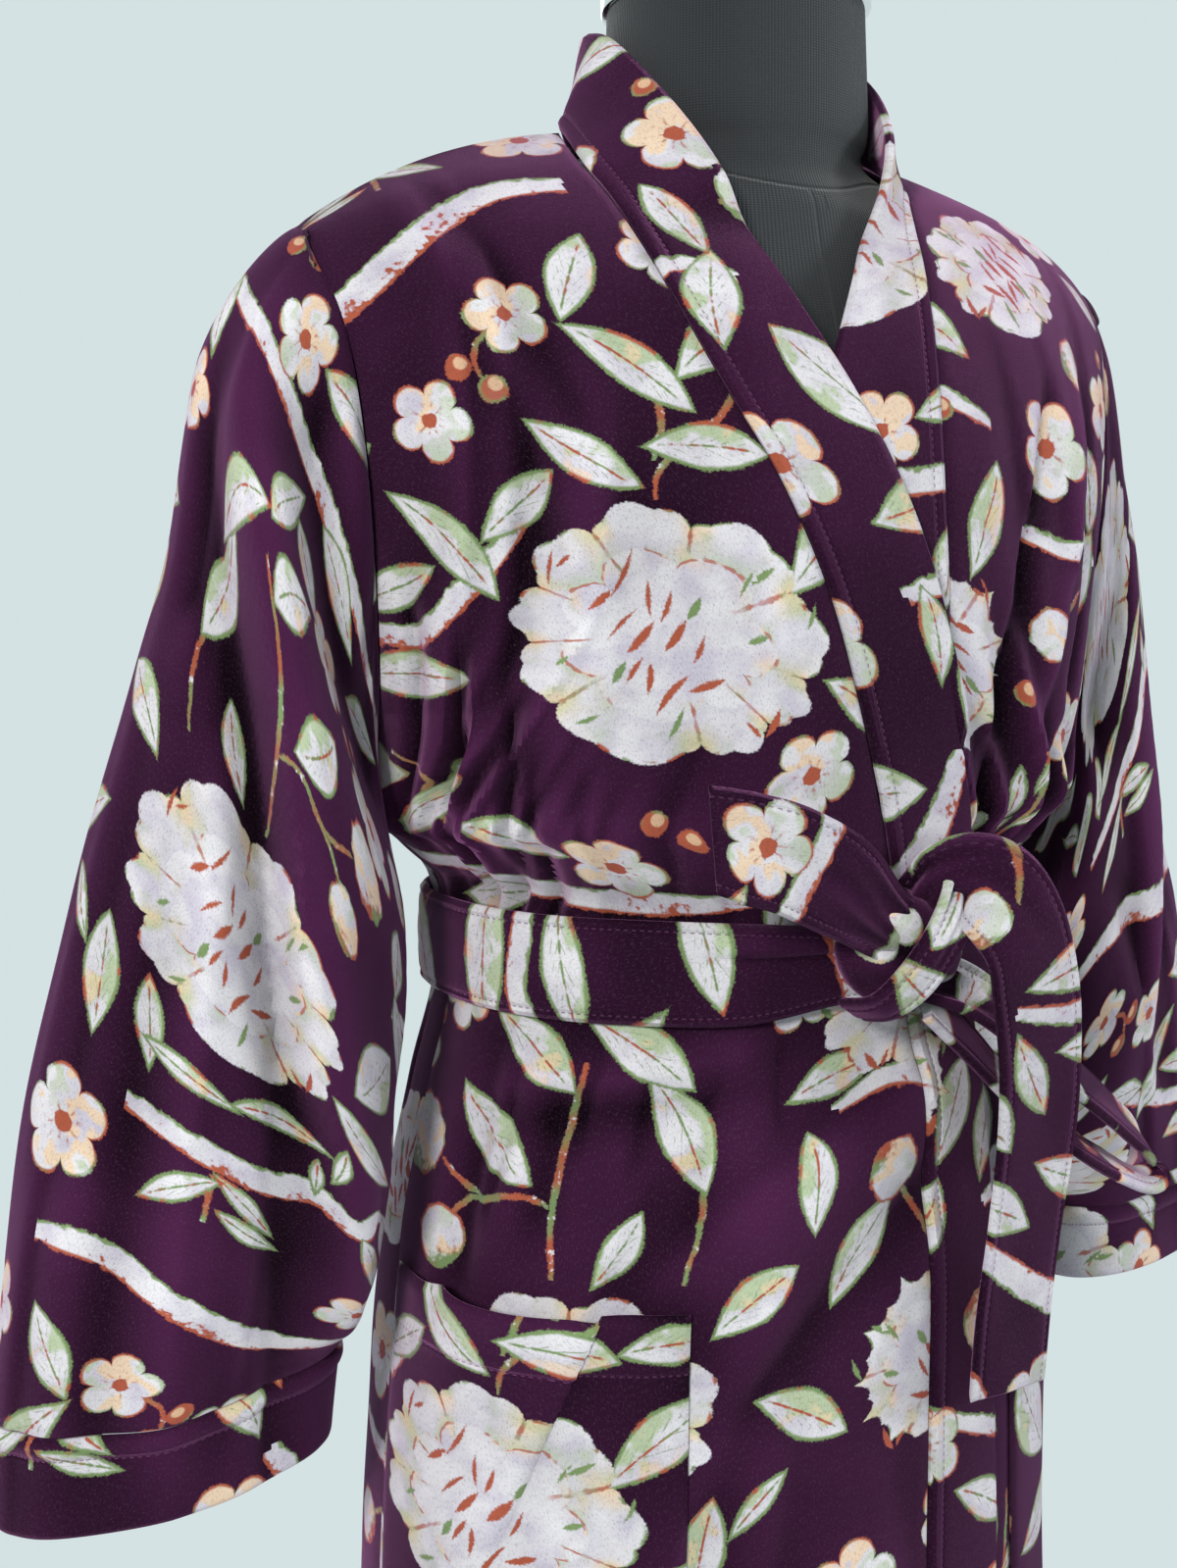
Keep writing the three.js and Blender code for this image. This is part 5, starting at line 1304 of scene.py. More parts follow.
sleeveColumns = "upX upY upZ lowX lowY lowZ deep"
rightSleeve = makeTable(sleeveColumns, [
    [203, 14, 1361, 180, 5, 1116, 52], [225, 16, 1349, 183, 4, 1100, 54], [242, 15, 1320, 178, 2, 1082, 55],
    [252, 14, 1277, 172, -1, 1060, 54], [261, 13, 1226, 172, -3, 1037, 53],
    [274, 12, 1182, 175, -4, 1013, 52],
    [289, 11, 1136, 180, -5, 989, 51], [304, 10, 1088, 182, -6, 963, 50], [318, 9, 1036, 186, -7, 938, 49],
    [330, 8, 984, 191, -8, 916, 48], [340, 8, 930, 198, -8, 903, 47], [347, 8, 880, 205, -8, 895, 46],
    [350, 8, 836, 210, -8, 856, 45],
])
leftSleeve = makeTable(sleeveColumns, [
    [203, 14, 1361, 170, 5, 1116, 52], [213, 17, 1346, 173, 2, 1100, 52], [219, 18, 1314, 169, -1, 1082, 52],
    [223, 19, 1270, 165, -5, 1060, 51], [231, 20, 1224, 162, -8, 1037, 50],
    [243, 21, 1180, 161, -11, 1013, 49],
    [258, 21, 1134, 161, -13, 989, 48], [272, 22, 1086, 162, -15, 964, 47],
    [286, 23, 1034, 164, -17, 941, 47],
    [297, 24, 982, 166, -18, 921, 46], [306, 25, 936, 168, -19, 907, 45], [313, 25, 898, 171, -20, 897, 44],
    [317, 25, 862, 174, -20, 858, 43],
])
# Folds along a sleeve: from and to are its rows, turn is from the upper edge towards the front.
sleeveFolds = makeTable("low high turn drift width depth", [
    [0, 6, 138, 4, 9, 5], [3, 12.9, 40, 2, 12, 3], [-0.5, 8, 300, -1, 12, -8], [-0.5, 7, 266, -1, 12, 11],
    [0.5, 8, 238, 0, 11, -8],
    [0, 5, 212, -1, 10, 11], [5, 12.9, 270, 0, 14, -5],
])
fineSleeveFolds = makeTable("low high turn drift width depth lop", [
    [0.2, 6, 130, 5, 3.5, -4, -0.4], [0.4, 5, 152, 6, 4, 3.4, 0.4],
    [3, 12.8, 84, 2.6, 6, 3.0, 0.5], [4.5, 12.8, 62, 3, 7, -2.8, -0.5], [5, 12.8, 20, 1, 7, 2.4, 0.4],
    [0.2, 5.5, 22, 3, 6, 2.6, -0.4], [3, 11.5, 160, 1, 5, 3, 0.4],
    [-1, 10, 294, -1, 7, -6, 0.6], [-0.5, 9, 281, -1, 5, 7, 0.2], [0, 9, 322, -1, 7, 3.4, -0.5],
    [0.5, 9.5, 246, 0, 6, -6, 0.6], [0.5, 8.5, 233, 0, 4.5, 7, -0.2], [0.2, 5, 200, -2, 4, -4, 0.4],
    [4, 12.8, 305, 0, 7, -3, -0.5], [6, 12.8, 225, 0, 6, 3, 0.4], [3, 11, 345, 0, 6, -2.8, 0.4],
])
sleeveCloth = {"round": 160, "rows": 170, "cloth": 1.9, "power": 2.15, "blend": 2.5, "gap": 0.12,
               "right": ((0.62, 0.513), 0.1563), "left": ((0.584, 0.481), 0.1302)}
# Slanting folds on a sleeve's front: points outward and up in millimetres, width, depth, how
# lopsided, and -1 for the wearer's right sleeve or 1 for the left.
sleeveLines = [
    ([(214, 1362), (230, 1326), (239, 1282), (239, 1240), (236, 1200), (232, 1155), (229, 1105), (226, 1045),
      (216, 980), (210, 915)], 15, -15, -0.6, -1),
    ([(224, 1355), (241, 1322), (250, 1282), (250, 1240), (247, 1200), (243, 1155), (240, 1105), (237, 1050),
      (230, 985)], 9, 12, 0.5, -1),
    ([(226, 1312), (221, 1272), (215, 1232), (207, 1188), (193, 1138), (180, 1096)], 9, 18, 0.1, -1),
    ([(214, 1268), (203, 1225), (192, 1188), (184, 1150)], 7, -9, 0.3, -1),
    ([(194, 1262), (188, 1220), (184, 1180)], 6, 10, -0.2, -1),
    ([(240, 1322), (252, 1272), (259, 1232), (262, 1200)], 7, 5, 0.4, -1),
    ([(258, 1218), (278, 1148), (291, 1082), (298, 1018), (300, 960)], 26, 5, 0.3, -1),
    ([(264, 1010), (273, 950), (283, 880), (290, 836)], 17, -4.5, 0.4, -1),
    ([(236, 985), (237, 930), (243, 870), (246, 838)], 13, 6, -0.3, -1),
    ([(308, 1010), (320, 930), (328, 860)], 12, -3.5, 0.3, -1),
    ([(212, 1000), (206, 950), (210, 890)], 10, -4, 0.3, -1),
    ([(208, 1350), (219, 1305), (220, 1250), (217, 1200), (218, 1140), (222, 1080), (222, 1010), (226, 940)],
     13, -11, -0.5, 1),
    ([(218, 1345), (229, 1300), (231, 1250), (228, 1200), (230, 1140), (234, 1080), (235, 1015)],
     8, 9, 0.5, 1),
    ([(206, 1312), (204, 1262), (198, 1212), (188, 1160), (180, 1105)], 8, 13, 0.1, 1),
    ([(192, 1270), (185, 1222), (178, 1180)], 6, -5, 0.3, 1),
    ([(190, 1080), (205, 1040), (224, 990), (240, 940)], 10, 5, 0.3, 1),
    ([(250, 1080), (262, 1010), (270, 940)], 12, -4, 0.4, 1),
]


def sleeveFold(folds, turn, place):
    depth = np.zeros(np.broadcast_shapes(turn.shape, place.shape))
    for k in range(len(folds["low"])):
        low, high = folds["low"][k], folds["high"][k]
        reach = high - low
        fade = ease(low, low + 0.3 * reach, place) * (1 - ease(low + 0.6 * reach, high, place))
        off = turn - (folds["turn"][k] + folds["drift"][k] * (place - low))
        off = off - 360 * np.round(off / 360)
        depth += folds["depth"][k] * fade * lopsided(folds, k, off)
    return depth


def armholeEdge(side, turn):
    round360 = np.mod(turn, 360)
    front = round360 <= 180
    climb = np.where(front, 1 - round360 / 180, (round360 - 180) / 180)
    place = underarm + (shoulder - underarm) * climb
    angle = np.full(turn.shape, side * math.pi / 2)
    edges = [bodySurface(facing, angle, place) for facing in (-1, 1)]
    normals = []
    for facing, edge in zip((-1, 1), edges):
        aside = bodySurface(facing, angle - side * 0.01, place)
        above = bodySurface(facing, angle, np.minimum(place + 0.03, shoulder))
        below = bodySurface(facing, angle, place - 0.03)
        normals.append(unit(np.cross((edge - aside) * side, above - below)) * -facing)
    pick = front[..., None]
    return np.where(pick, edges[0], edges[1]), np.where(pick, normals[0], normals[1])


def sleeveSurface(side, turn, place, fine=1.0):
    s = sleeveCloth
    row = readAlong(rightSleeve if side < 0 else leftSleeve, place)
    up = np.stack([side * row["upX"], row["upY"], row["upZ"]], -1)
    low = np.stack([side * row["lowX"], row["lowY"], row["lowZ"]], -1)
    centre, axis = (up + low) / 2, (up - low) / 2
    length = np.linalg.norm(axis, axis=-1)
    fold = sleeveFold(sleeveFolds, turn, place)
    fold = fold + fine * ease(0, 1, place) * sleeveFold(fineSleeveFolds, turn, place)
    ripple = softRipple(turn * 1.4, place * 17, place * 45)
    fold = fold + fine * ease(0, 1.5, place) * ripple
    foldShadeAndNap = ease(0.04, 0.3, np.sin(turn * degree)) * ease(0, 0.9, place)
    cos = signedPower(np.cos(turn * degree), 2 / s["power"])
    sin = signedPower(np.sin(turn * degree), 2 / s["power"])
    smooth = centre + axis * cos[..., None]
    fold = fold + foldShadeAndNap * lineFolds(sleeveLines, side, side * smooth[..., 0], smooth[..., 2])
    free = centre + axis * (cos * (1 - fold / length))[..., None]
    free[..., 1] -= sin * (row["deep"] - fold)
    hole, normal = armholeEdge(side, turn)
    hole = hole.copy()
    hole[..., 0] += side * s["gap"]
    blend = ease(0, s["blend"], place)[..., None]
    return hole + (free - hole) * blend, normal


def sleeveGrid(side, places):
    u = np.arange(sleeveCloth["round"])[:, None] / sleeveCloth["round"]
    turn = 180 - side * u * 360 + 0 * places[None, :]
    place = places[None, :] + 0 * turn
    points, body = sleeveSurface(side, turn, place)
    normals = gridNormals(points, closed=True)
    middle = points.mean(0, keepdims=True)
    if (normals * (points - middle)).sum() < 0:
        normals = -normals
    alike = ease(0, 0.3, (body * normals).sum(-1)) * (1 - ease(0, 0.8, place))
    normals = unit(normals + (body - normals) * alike[..., None])
    return points, normals


def makeSleeve(side, name, node, start):
    s = sleeveCloth
    points, normals = sleeveGrid(side, np.linspace(0, 11, s["rows"]))
    first, down = edgeRuns(points)[2:]
    sink = dip(down, 0.8, 1.6) + dip(first, 0.3, 2.6)
    outer = raised(points, normals, -sink)
    inner = raised(points, normals, -s["cloth"] - 0.4 * sink)
    cut = flatPlaces(points, closed=True, start=start, turn=180)
    piece = clothShell(name, outer, inner, cut, closed=True)
    return declareSheet(finishPiece(piece, node))


cuffCloth = {
    "rows": 22, "tuck": 1.5, "rise": 9.0,
    "right": ((0.384, 0.043), 0.0158), "left": ((0.385, 0.0385), 0.0147),
}


def makeCuff(side, name, node, start):
    s = cuffCloth
    points, normals = sleeveGrid(side, np.linspace(11.012, 11.982, s["rows"]))
    first, down = edgeRuns(points)[2:]
    tuck = s["tuck"] * np.exp(-(((first - 4.5) / 3.6) ** 2)) - dip(first - s["rise"], 0.5, 1.2)
    lip = np.sqrt(np.clip(1 - (1 - np.minimum((down + 0.1) / 2.4, 1)) ** 2, 0.03, 1))
    top = np.sqrt(np.clip(1 - (1 - np.minimum((first + 0.1) / 1.6, 1)) ** 2, 0.03, 1))
    outer = raised(points, normals, -1.0 + (1.6 * lip + np.maximum(tuck, -0.5)) * top)
    inner = raised(points, normals, -1.0 - 1.6 * lip * top)
    cut = flatPlaces(points, closed=True, start=start, turn=180)
    around = np.cumsum(np.full(points.shape[:2], 3.0), 0)
    piece = clothShell(name, outer, inner, cut, closed=True, seam=seamLine(first - s["rise"], around))
    return declareSheet(finishPiece(piece, node))


pocketCloth = {
    "columns": 70, "rows": 70, "top": 918, "floor": 715, "lift": 0.8, "gape": 13, "cloth": 2.0, "hem": 25,
    "right": (0.158, 0.204), "left": (0.134, 0.204),
}


def makePocket(side, name, node, start):
    s = pocketCloth
    heights = np.linspace(s["floor"], s["top"], s["rows"])
    fineAt = np.linspace(0, 12, 2400)
    place = np.interp(heights, readAlong(bodyRows, fineAt)["z"], fineAt)[None, :]
    outerAngle, innerAngle = (-88, -24.5) if side < 0 else (88, 33)
    first, last = (outerAngle, innerAngle) if side < 0 else (innerAngle, outerAngle)
    u = np.linspace(0, 1, s["columns"])[:, None]
    angle = (first + (last - first) * u) * degree + 0 * place
    place = place + 0 * angle
    points = bodySurface(-1, angle, place)
    normals = gridNormals(points)
    v = ((place - place[0, 0]) / (place[0, -1] - place[0, 0]))
    sideways = np.abs(angle / degree - innerAngle) / abs(outerAngle - innerAngle)
    gape = s["gape"] * v**3 * np.sin(math.pi * np.minimum(sideways, 0.96)) ** 1.5
    base = (rightLift(points[..., 0], place) if side < 0 else 0) + s["lift"] + gape
    left, right, down, up = edgeRuns(points)
    edge = np.minimum(np.minimum(left, right), down)
    press = 0.35 + 0.65 * ease(0, 5, edge)
    hem = 0.9 * (1 - ease(s["hem"] - 1.5, s["hem"] + 1.5, up))
    roll = np.sqrt(np.clip(1 - (1 - np.minimum((up + 0.1) / 2, 1)) ** 2, 0.03, 1))
    edgeRoll = np.sqrt(np.clip(1 - (1 - np.minimum((edge + 0.1) / 1.6, 1)) ** 2, 0.1, 1))
    thick = (s["cloth"] * press + hem) * roll * edgeRoll
    outer = raised(points, normals, base + 0.15 + thick + 0.5 * ease(4, 12, edge) * (1 - v))
    inner = raised(points, normals, base + (s["cloth"] * 0.3) * (1 - roll))
    cut = flatPlaces(points, start=start)
    piece = clothShell(name, outer, inner, cut, seam=seamLine(up - s["hem"], left))
    return declareSheet(finishPiece(piece, node))


beltCloth = {"columns": 340, "rows": 22, "width": 44, "thick": 4.6, "height": 1056, "stitch": 4.0,
             "wrap": (0.044, 0.772), "short": (0.044, 0.111), "long": (0.0445, 0.285), "loop": (0.036, 0.36),
             "knot": (0.044, 0.145)}


def makeBeltWrap(start):
    s = beltCloth
    round360 = (np.arange(s["columns"]) / s["columns"] - 0.5)[:, None] * 2 * math.pi
    v = np.linspace(0, 1, s["rows"])[None, :]
    row = {name: float(column[9]) for name, column in bodyRows.items()}
    front = np.cos(round360) >= 0
    across = signedPower(np.sin(round360), 2 / sectionPower)
    along = np.abs(np.cos(round360)) ** (2 / sectionPower)
    depth = np.where(front, row["front"], row["back"])
    out = np.stack([np.sin(round360) * np.abs(depth), -np.cos(round360) * row["half"], 0 * round360], -1)
    out = unit(out)
    x = row["shift"] + row["half"] * across
    crush = np.exp(-(((x + 12) / 34) ** 2)) * front
    width = s["width"] * (1 - 0.25 * crush)
    z = s["height"] + (v - 0.5) * width + 2 * np.sin(round360) ** 2 + crush
    y = row["edgeFront"] + (depth - row["edgeFront"]) * along
    points = np.stack([x + 0 * v, y + 0 * v, z], -1)
    step = np.where(front, ease(-105, -52, x) * (1 - ease(70, 108, x)), 0)
    lift = 0.8 + (overlapLift + 1.9) * step
    out = np.broadcast_to(out, points.shape)
    run = edgeRuns(np.concatenate([points, points[:1]], 0))[0][:-1]
    near = np.exp(-(((x - 8) / 70) ** 2)) * front
    crease = (
        0.9 * np.exp(-(((v - 0.36 - 0.05 * np.sin(run / 60)) / 0.07) ** 2))
        + 0.7 * np.exp(-(((v - 0.64 + 0.06 * np.sin(run / 47 + 1)) / 0.06) ** 2)))
    crease = crease * (0.35 + 1.6 * near) * (0.6 + 0.4 * np.sin(run / 83 + 0.7))
    turned = front * ease(-84, -48, x) * (1 - ease(20, 60, x))
    crease = crease - turned * (2.0 * ease(0.68, 0.74, v) - 1.6 * np.exp(-(((v - 0.665) / 0.03) ** 2)))
    edge = (0.5 - np.abs(v - 0.5)) * width
    roll = np.sqrt(np.clip(1 - (1 - np.minimum((edge + 0.1) / 2.6, 1)) ** 2, 0.03, 1))
    groove = dip(edge - s["stitch"], 0.5, 1.0)
    bulge = np.sin(math.pi * v) * 1.1 + 0.35 * np.sin(run / 21 + 3 * v)
    outer = raised(points, out, lift + s["thick"] / 2 + (s["thick"] / 2 + bulge - crease - groove) * roll)
    inner = raised(points, out, lift + s["thick"] / 2 * (1 - roll))
    cut = flatPlaces(points, closed=True, start=start, turn=90)
    piece = clothShell(
        "beltWrapCloth", outer, inner, cut, closed=True, bothPrinted=True,
        seam=seamLine(edge - s["stitch"], run))
    return declareSheet(finishPiece(piece, "belt_wrap"))


strapColumns = "x y z acrossX acrossY acrossZ width"
shortTail = makeTable(strapColumns, [
    [0, -141, 1071, 0.4, 0, 0.92, 24], [-16, -145, 1080, 0.4, 0, 0.92, 31],
    [-38, -149, 1096, 0.36, -0.05, 0.94, 41],
    [-63, -150, 1109, 0.32, -0.05, 0.95, 43], [-82, -149, 1115, 0.3, 0, 0.95, 43],
    [-97, -147, 1119, 0.28, 0, 0.96, 40],
])
longTail = makeTable(strapColumns, [
    [4, -134, 1080, 0.1, -0.6, 0.8, 22], [10, -149, 1096, 0.3, -0.5, 0.8, 30],
    [22, -160, 1095, 0.6, -0.3, 0.75, 40],
    [37, -166, 1075, 0.85, 0, 0.5, 43], [46, -164, 1048, 0.98, 0, 0.18, 44],
    [53, -159, 1018, 1, 0.05, 0.04, 44],
    [57, -153, 985, 1, 0.08, 0, 44], [57, -147, 945, 1, 0.12, 0, 44], [55, -143, 905, 1, 0.12, 0, 44],
    [54, -141, 867, 1, 0.12, 0, 44],
])
beltLoop = makeTable(strapColumns, [
    [8, -137, 1056, 0.35, 0.55, 0.75, 28], [30, -139, 1046, 0.45, 0.6, 0.65, 26],
    [56, -135, 1030, 0.5, 0.7, 0.5, 28],
    [98, -128, 998, 0.5, 0.8, 0.32, 34], [128, -122, 975, 0.5, 0.83, 0.2, 36],
    [149, -117, 957, 0.5, 0.85, 0.1, 36],
    [146, -118, 944, 0.5, 0.85, 0, 36], [122, -123, 954, 0.5, 0.85, 0, 34],
    [92, -128, 973, 0.5, 0.8, 0.1, 30],
    [62, -132, 995, 0.5, 0.75, 0.2, 26], [36, -136, 1020, 0.5, 0.7, 0.3, 25],
    [12, -137, 1044, 0.45, 0.6, 0.5, 26],
])


def makeStrap(name, node, rows, step, start, slant=0.0, endOpen=True):
    piece = finishPiece(strapPiece(name, rows, step, start, slant, endOpen), node)
    return declareSheet(piece)


def strapPiece(name, rows, step, start, slant=0.0, endOpen=True):
    last = len(rows["x"]) - 1
    place = np.linspace(0, last, step * last + 1)
    row = readAlong(rows, place)
    centre = np.stack([row["x"], row["y"], row["z"]], -1)
    tangent = unit(np.gradient(centre, axis=0))
    across = np.stack([row["acrossX"], row["acrossY"], row["acrossZ"]], -1)
    across = unit(across - tangent * (across * tangent).sum(-1, keepdims=True))
    off = np.cross(tangent, across)
    run = np.concatenate([[0], np.cumsum(np.linalg.norm(np.diff(centre, axis=0), axis=1))])
    a = np.linspace(-0.5, 0.5, 29)[:, None]
    width = row["width"][None, :]
    edge = (0.5 - np.abs(a)) * width
    roll = np.sqrt(np.clip(1 - (1 - np.minimum((edge + 0.1) / 2.4, 1)) ** 2, 0.03, 1))
    end = np.sqrt(np.clip(1 - (1 - np.minimum((run[-1] - run + 0.1) / 2.2, 1)) ** 2, 0.03, 1))[None, :]
    if not endOpen:
        end = 1.0
    knotty = np.exp(-((run / 42) ** 2))[None, :]
    wave = knotty * (1.7 * np.sin(a * 13 + run / 19) + 1.1 * np.sin(a * 23 - run / 13))
    wave = wave + 0.5 * np.sin(a * 5 + run / 37) + 0.25 * np.sin(a * 9 - run / 17)
    groove = dip(edge - beltCloth["stitch"], 0.4, 1.0)
    shift = slant * a * width * ease(run[-1] - 26, run[-1], run)[None, :]
    middle = centre[None] + across[None] * (a * width)[..., None] + tangent[None] * shift[..., None]
    middle = middle + off[None] * (wave * roll)[..., None]
    half = beltCloth["thick"] / 2
    outer = middle + off[None] * ((half - groove) * roll * end)[..., None]
    inner = middle - off[None] * ((half - groove) * roll * end)[..., None]
    cut = flatPlaces(middle, start=start)
    return clothShell(
        name, outer, inner, cut, bothPrinted=True,
        seam=seamLine(edge - beltCloth["stitch"], run[None, :] + 0 * a))


knotStrap = makeTable(strapColumns, [
    [21, -127, 1099, 0.5, 0.5, -0.6, 17], [19, -143, 1096, 0.7, 0.2, -0.6, 18],
    [13, -153.5, 1086, 0.76, 0, -0.62, 19],
    [2, -157.5, 1071, 0.76, 0, -0.62, 19], [-9, -154.5, 1056, 0.76, 0, -0.62, 19],
    [-17, -145, 1045, 0.74, 0.2, -0.6, 18],
    [-20, -128, 1041, 0.7, 0.4, -0.6, 17],
])
knotCloth = {"centre": (1, -130, 1067), "half": (28, 22, 26), "back": -120.2, "round": 120, "rings": 80}


def makeKnot(start):
    s = knotCloth
    longitude = (np.arange(s["round"]) / s["round"] * 2 * math.pi)[:, None]
    latitude = (np.arange(1, s["rings"]) / s["rings"] - 0.5)[None, :] * math.pi
    direction = np.stack([
        np.cos(latitude) * np.sin(longitude), -np.cos(latitude) * np.cos(longitude),
        np.sin(latitude) + 0 * longitude], -1)
    poles = np.array([[0, 0, -1.0], [0, 0, 1.0]])
    every = np.concatenate([direction.reshape(-1, 3), poles])
    diagonal = (every[:, 0] * 0.72 - every[:, 2] * 0.69) * 26
    along = (every[:, 0] * 0.69 + every[:, 2] * 0.72) * 26
    front = 1 - ease(-0.45, 0.05, every[:, 1])
    pleat = 1.5 * np.sin(along / 4.3 + 0.6 * np.sin(diagonal / 5)) + 0.7 * np.sin(along / 2.3 + 1)
    pinch = 2.4 * np.exp(-((diagonal / 13) ** 2))
    grow = front * (pleat * (1 - np.exp(-((diagonal / 9) ** 2))) - pinch)
    points = every * np.array(s["half"]) + every * grow[:, None] + np.array(s["centre"])
    points[:, 1] = np.minimum(points[:, 1], s["back"])
    rings, count = s["rings"] - 1, s["round"]
    i, j = np.meshgrid(np.arange(count), np.arange(rings - 1), indexing="ij")
    i, j = i.ravel(), j.ravel()
    n = (i + 1) % count
    quads = np.stack([i * rings + j, n * rings + j, n * rings + j + 1, i * rings + j + 1], -1)
    k = np.arange(count)
    n = (k + 1) % count
    low = np.stack([n * rings, k * rings, np.full(count, count * rings)], -1)
    high = np.stack([k * rings + rings - 1, n * rings + rings - 1, np.full(count, count * rings + 1)], -1)
    mesh = bpy.data.meshes.new("beltKnotCloth")
    mesh.from_pydata((points / 1000).tolist(), [], quads.tolist() + low.tolist() + high.tolist())
    piece = bpy.data.objects.new("beltKnotCloth", mesh)
    bpy.context.collection.objects.link(piece)
    mesh.materials.append(velvet)
    mesh.update()
    bpy.ops.object.select_all(action="DESELECT")
    piece.select_set(True)
    bpy.context.view_layer.objects.active = piece
    bpy.ops.object.shade_smooth_by_angle(angle=50 * degree)
    piece.select_set(False)
    flat = np.stack([points[:, 0] + start[0], points[:, 2] + start[1]], -1)
    loops = np.zeros(len(mesh.loops), np.int32)
    mesh.loops.foreach_get("vertex_index", loops)
    sizes = np.array([polygon.loop_total for polygon in mesh.polygons])
    starts = np.array([polygon.loop_start for polygon in mesh.polygons])
    picked = starts[:, None] + np.minimum(np.arange(4)[None, :], sizes[:, None] - 1)
    corners = flat[loops[picked]]
    keep = np.arange(4)[None, :] < sizes[:, None]
    for layer, stamp in printLayers:
        addCornerVectors(mesh, layer, stamp(corners)[keep])
    addCornerVectors(mesh, "cut", np.concatenate([corners, np.zeros((len(corners), 4, 1))], -1)[keep])
    values = np.full((len(points), 3), 50.0, np.float32)
    # the pleats' depth, which the velvet turns into painted shade in the pleat hollows and painted highlight
    # on their crests
    values[:, 2] = -2 * pleat
    values[:, 1] = along
    attribute = mesh.attributes.new("seam", "FLOAT_VECTOR", "POINT")
    attribute.data.foreach_set("vector", values.ravel())
    strap = strapPiece("knotStrap", knotStrap, 14, (-188.0, -244.0))
    bpy.ops.object.select_all(action="DESELECT")
    strap.select_set(True)
    piece.select_set(True)
    bpy.context.view_layer.objects.active = piece
    bpy.ops.object.join()
    piece.select_set(False)
    flat = beltCloth["knot"]
    return declareSheet(finishPiece(piece, "belt_knot"))


formRows = makeTable("z shift half spread front back", [
    [735, -10, 134, 138, -90, 98], [770, -10, 139, 143, -96, 104], [850, -10, 140, 144, -100, 106],
    [930, -9, 132, 136, -94, 98], [1000, -7, 118, 121, -84, 86], [1050, -6, 112, 115, -80, 78],
    [1100, -5, 119, 122, -86, 82], [1160, -3, 130, 133, -96, 90], [1220, -2, 140, 142, -102, 97],
    [1270, -1, 150, 150, -98, 102], [1310, 0, 160, 150, -86, 96], [1340, 0, 174, 138, -76, 86],
    [1356, 0, 184, 124, -71, 76], [1368, 0, 191, 98, -68, 69], [1376, 0, 181.5, 78, -66, 62],
    [1384, -1, 158, 63, -62, 58], [1392, -2, 120, 56, -58, 54], [1400, -2, 80, 56, -57, 51],
    [1406, -1, 64, 57, -57, 51], [1413, 0, 63, 60, -57.5, 53], [1428, 0, 61, 60.5, -57.5, 55],
    [1470, 0, 58.5, 58.5, -57, 57],
])
formSettings = {"round": 112, "rows": 170, "edge": 3.0}


def makeForm():
    s = formSettings
    place = np.linspace(0, len(formRows["z"]) - 1, s["rows"])[None, :]
    row = {name: column for name, column in readAlong(formRows, place).items()}
    turn = (np.arange(s["round"]) / s["round"] * 2 * math.pi)[:, None]
    lean = 1 - ease(1395, 1425, row["z"])
    middle = 12 * lean * ease(1180, 1340, row["z"])
    depth = np.where(np.cos(turn) >= 0, middle - row["front"], row["back"] - middle)
    x = row["shift"] + row["spread"] * np.sin(turn) + (row["half"] - row["spread"]) * np.sin(turn) ** 5
    y = middle - depth * np.cos(turn)
    z = row["z"] + 0 * turn
    points = np.stack([x, y, z], -1)
    # a rounded lower edge, a flat underside and a flat top under the cap
    centre = points.mean(0, keepdims=True)
    low = centre[:, :1] + (points[:, :1] - centre[:, :1]) * np.array([0.0, 0.6, 0.97])[None, :, None]
    low[..., 2] = 735
    high = centre[:, -1:] + (points[:, -1:] - centre[:, -1:]) * np.array([0.985, 0.6, 0.0])[None, :, None]
    high[..., 2] = 1470
    ring = np.concatenate([low[:, 1:], points, high[:, :-1]], 1)
    nu, nv = ring.shape[:2]
    vertices = np.concatenate([ring.reshape(-1, 3), low[:1, 0], high[:1, -1]])
    i, j = np.meshgrid(np.arange(nu), np.arange(nv - 1), indexing="ij")
    i, j = i.ravel(), j.ravel()
    n = (i + 1) % nu
    quads = np.stack([i * nv + j, n * nv + j, n * nv + j + 1, i * nv + j + 1], -1)
    k = np.arange(nu)
    n = (k + 1) % nu
    under = np.stack([n * nv, k * nv, np.full(nu, nu * nv)], -1)
    over = np.stack([k * nv + nv - 1, n * nv + nv - 1, np.full(nu, nu * nv + 1)], -1)
    mesh = bpy.data.meshes.new("formTorsoPad")
    mesh.from_pydata((vertices / 1000).tolist(), [], quads.tolist() + under.tolist() + over.tolist())
    mesh.materials.append(knit)
    piece = bpy.data.objects.new("formTorsoPad", mesh)
    bpy.context.collection.objects.link(piece)
    bpy.ops.object.select_all(action="DESELECT")
    piece.select_set(True)
    bpy.context.view_layer.objects.active = piece
    bpy.ops.object.shade_smooth_by_angle(angle=40 * degree)
    piece.select_set(False)
    around = np.arctan2(vertices[:, 0], -vertices[:, 1]) * 60
    neckSeam = vertices[:, 2] - 1396 + 13 * np.maximum(np.cos(around / 60), 0) ** 3
    frontSeam = np.where((vertices[:, 1] < 0) & (neckSeam < 0), vertices[:, 0], 50)
    near = np.where(np.abs(neckSeam) < np.abs(frontSeam), neckSeam, frontSeam)
    values = np.stack([around, vertices[:, 2], near], -1)
    attribute = mesh.attributes.new("knit", "FLOAT_VECTOR", "POINT")
    attribute.data.foreach_set("vector", values.astype(np.float32).ravel())
    finishPiece(piece, "form_torso")
    return piece


def pickFaces(piece, rule):
    bpy.ops.mesh.select_all(action="DESELECT")
    bpy.ops.object.mode_set(mode="OBJECT")
    for face in piece.data.polygons:
        face.select = bool(rule(face))
    bpy.ops.object.mode_set(mode="EDIT")


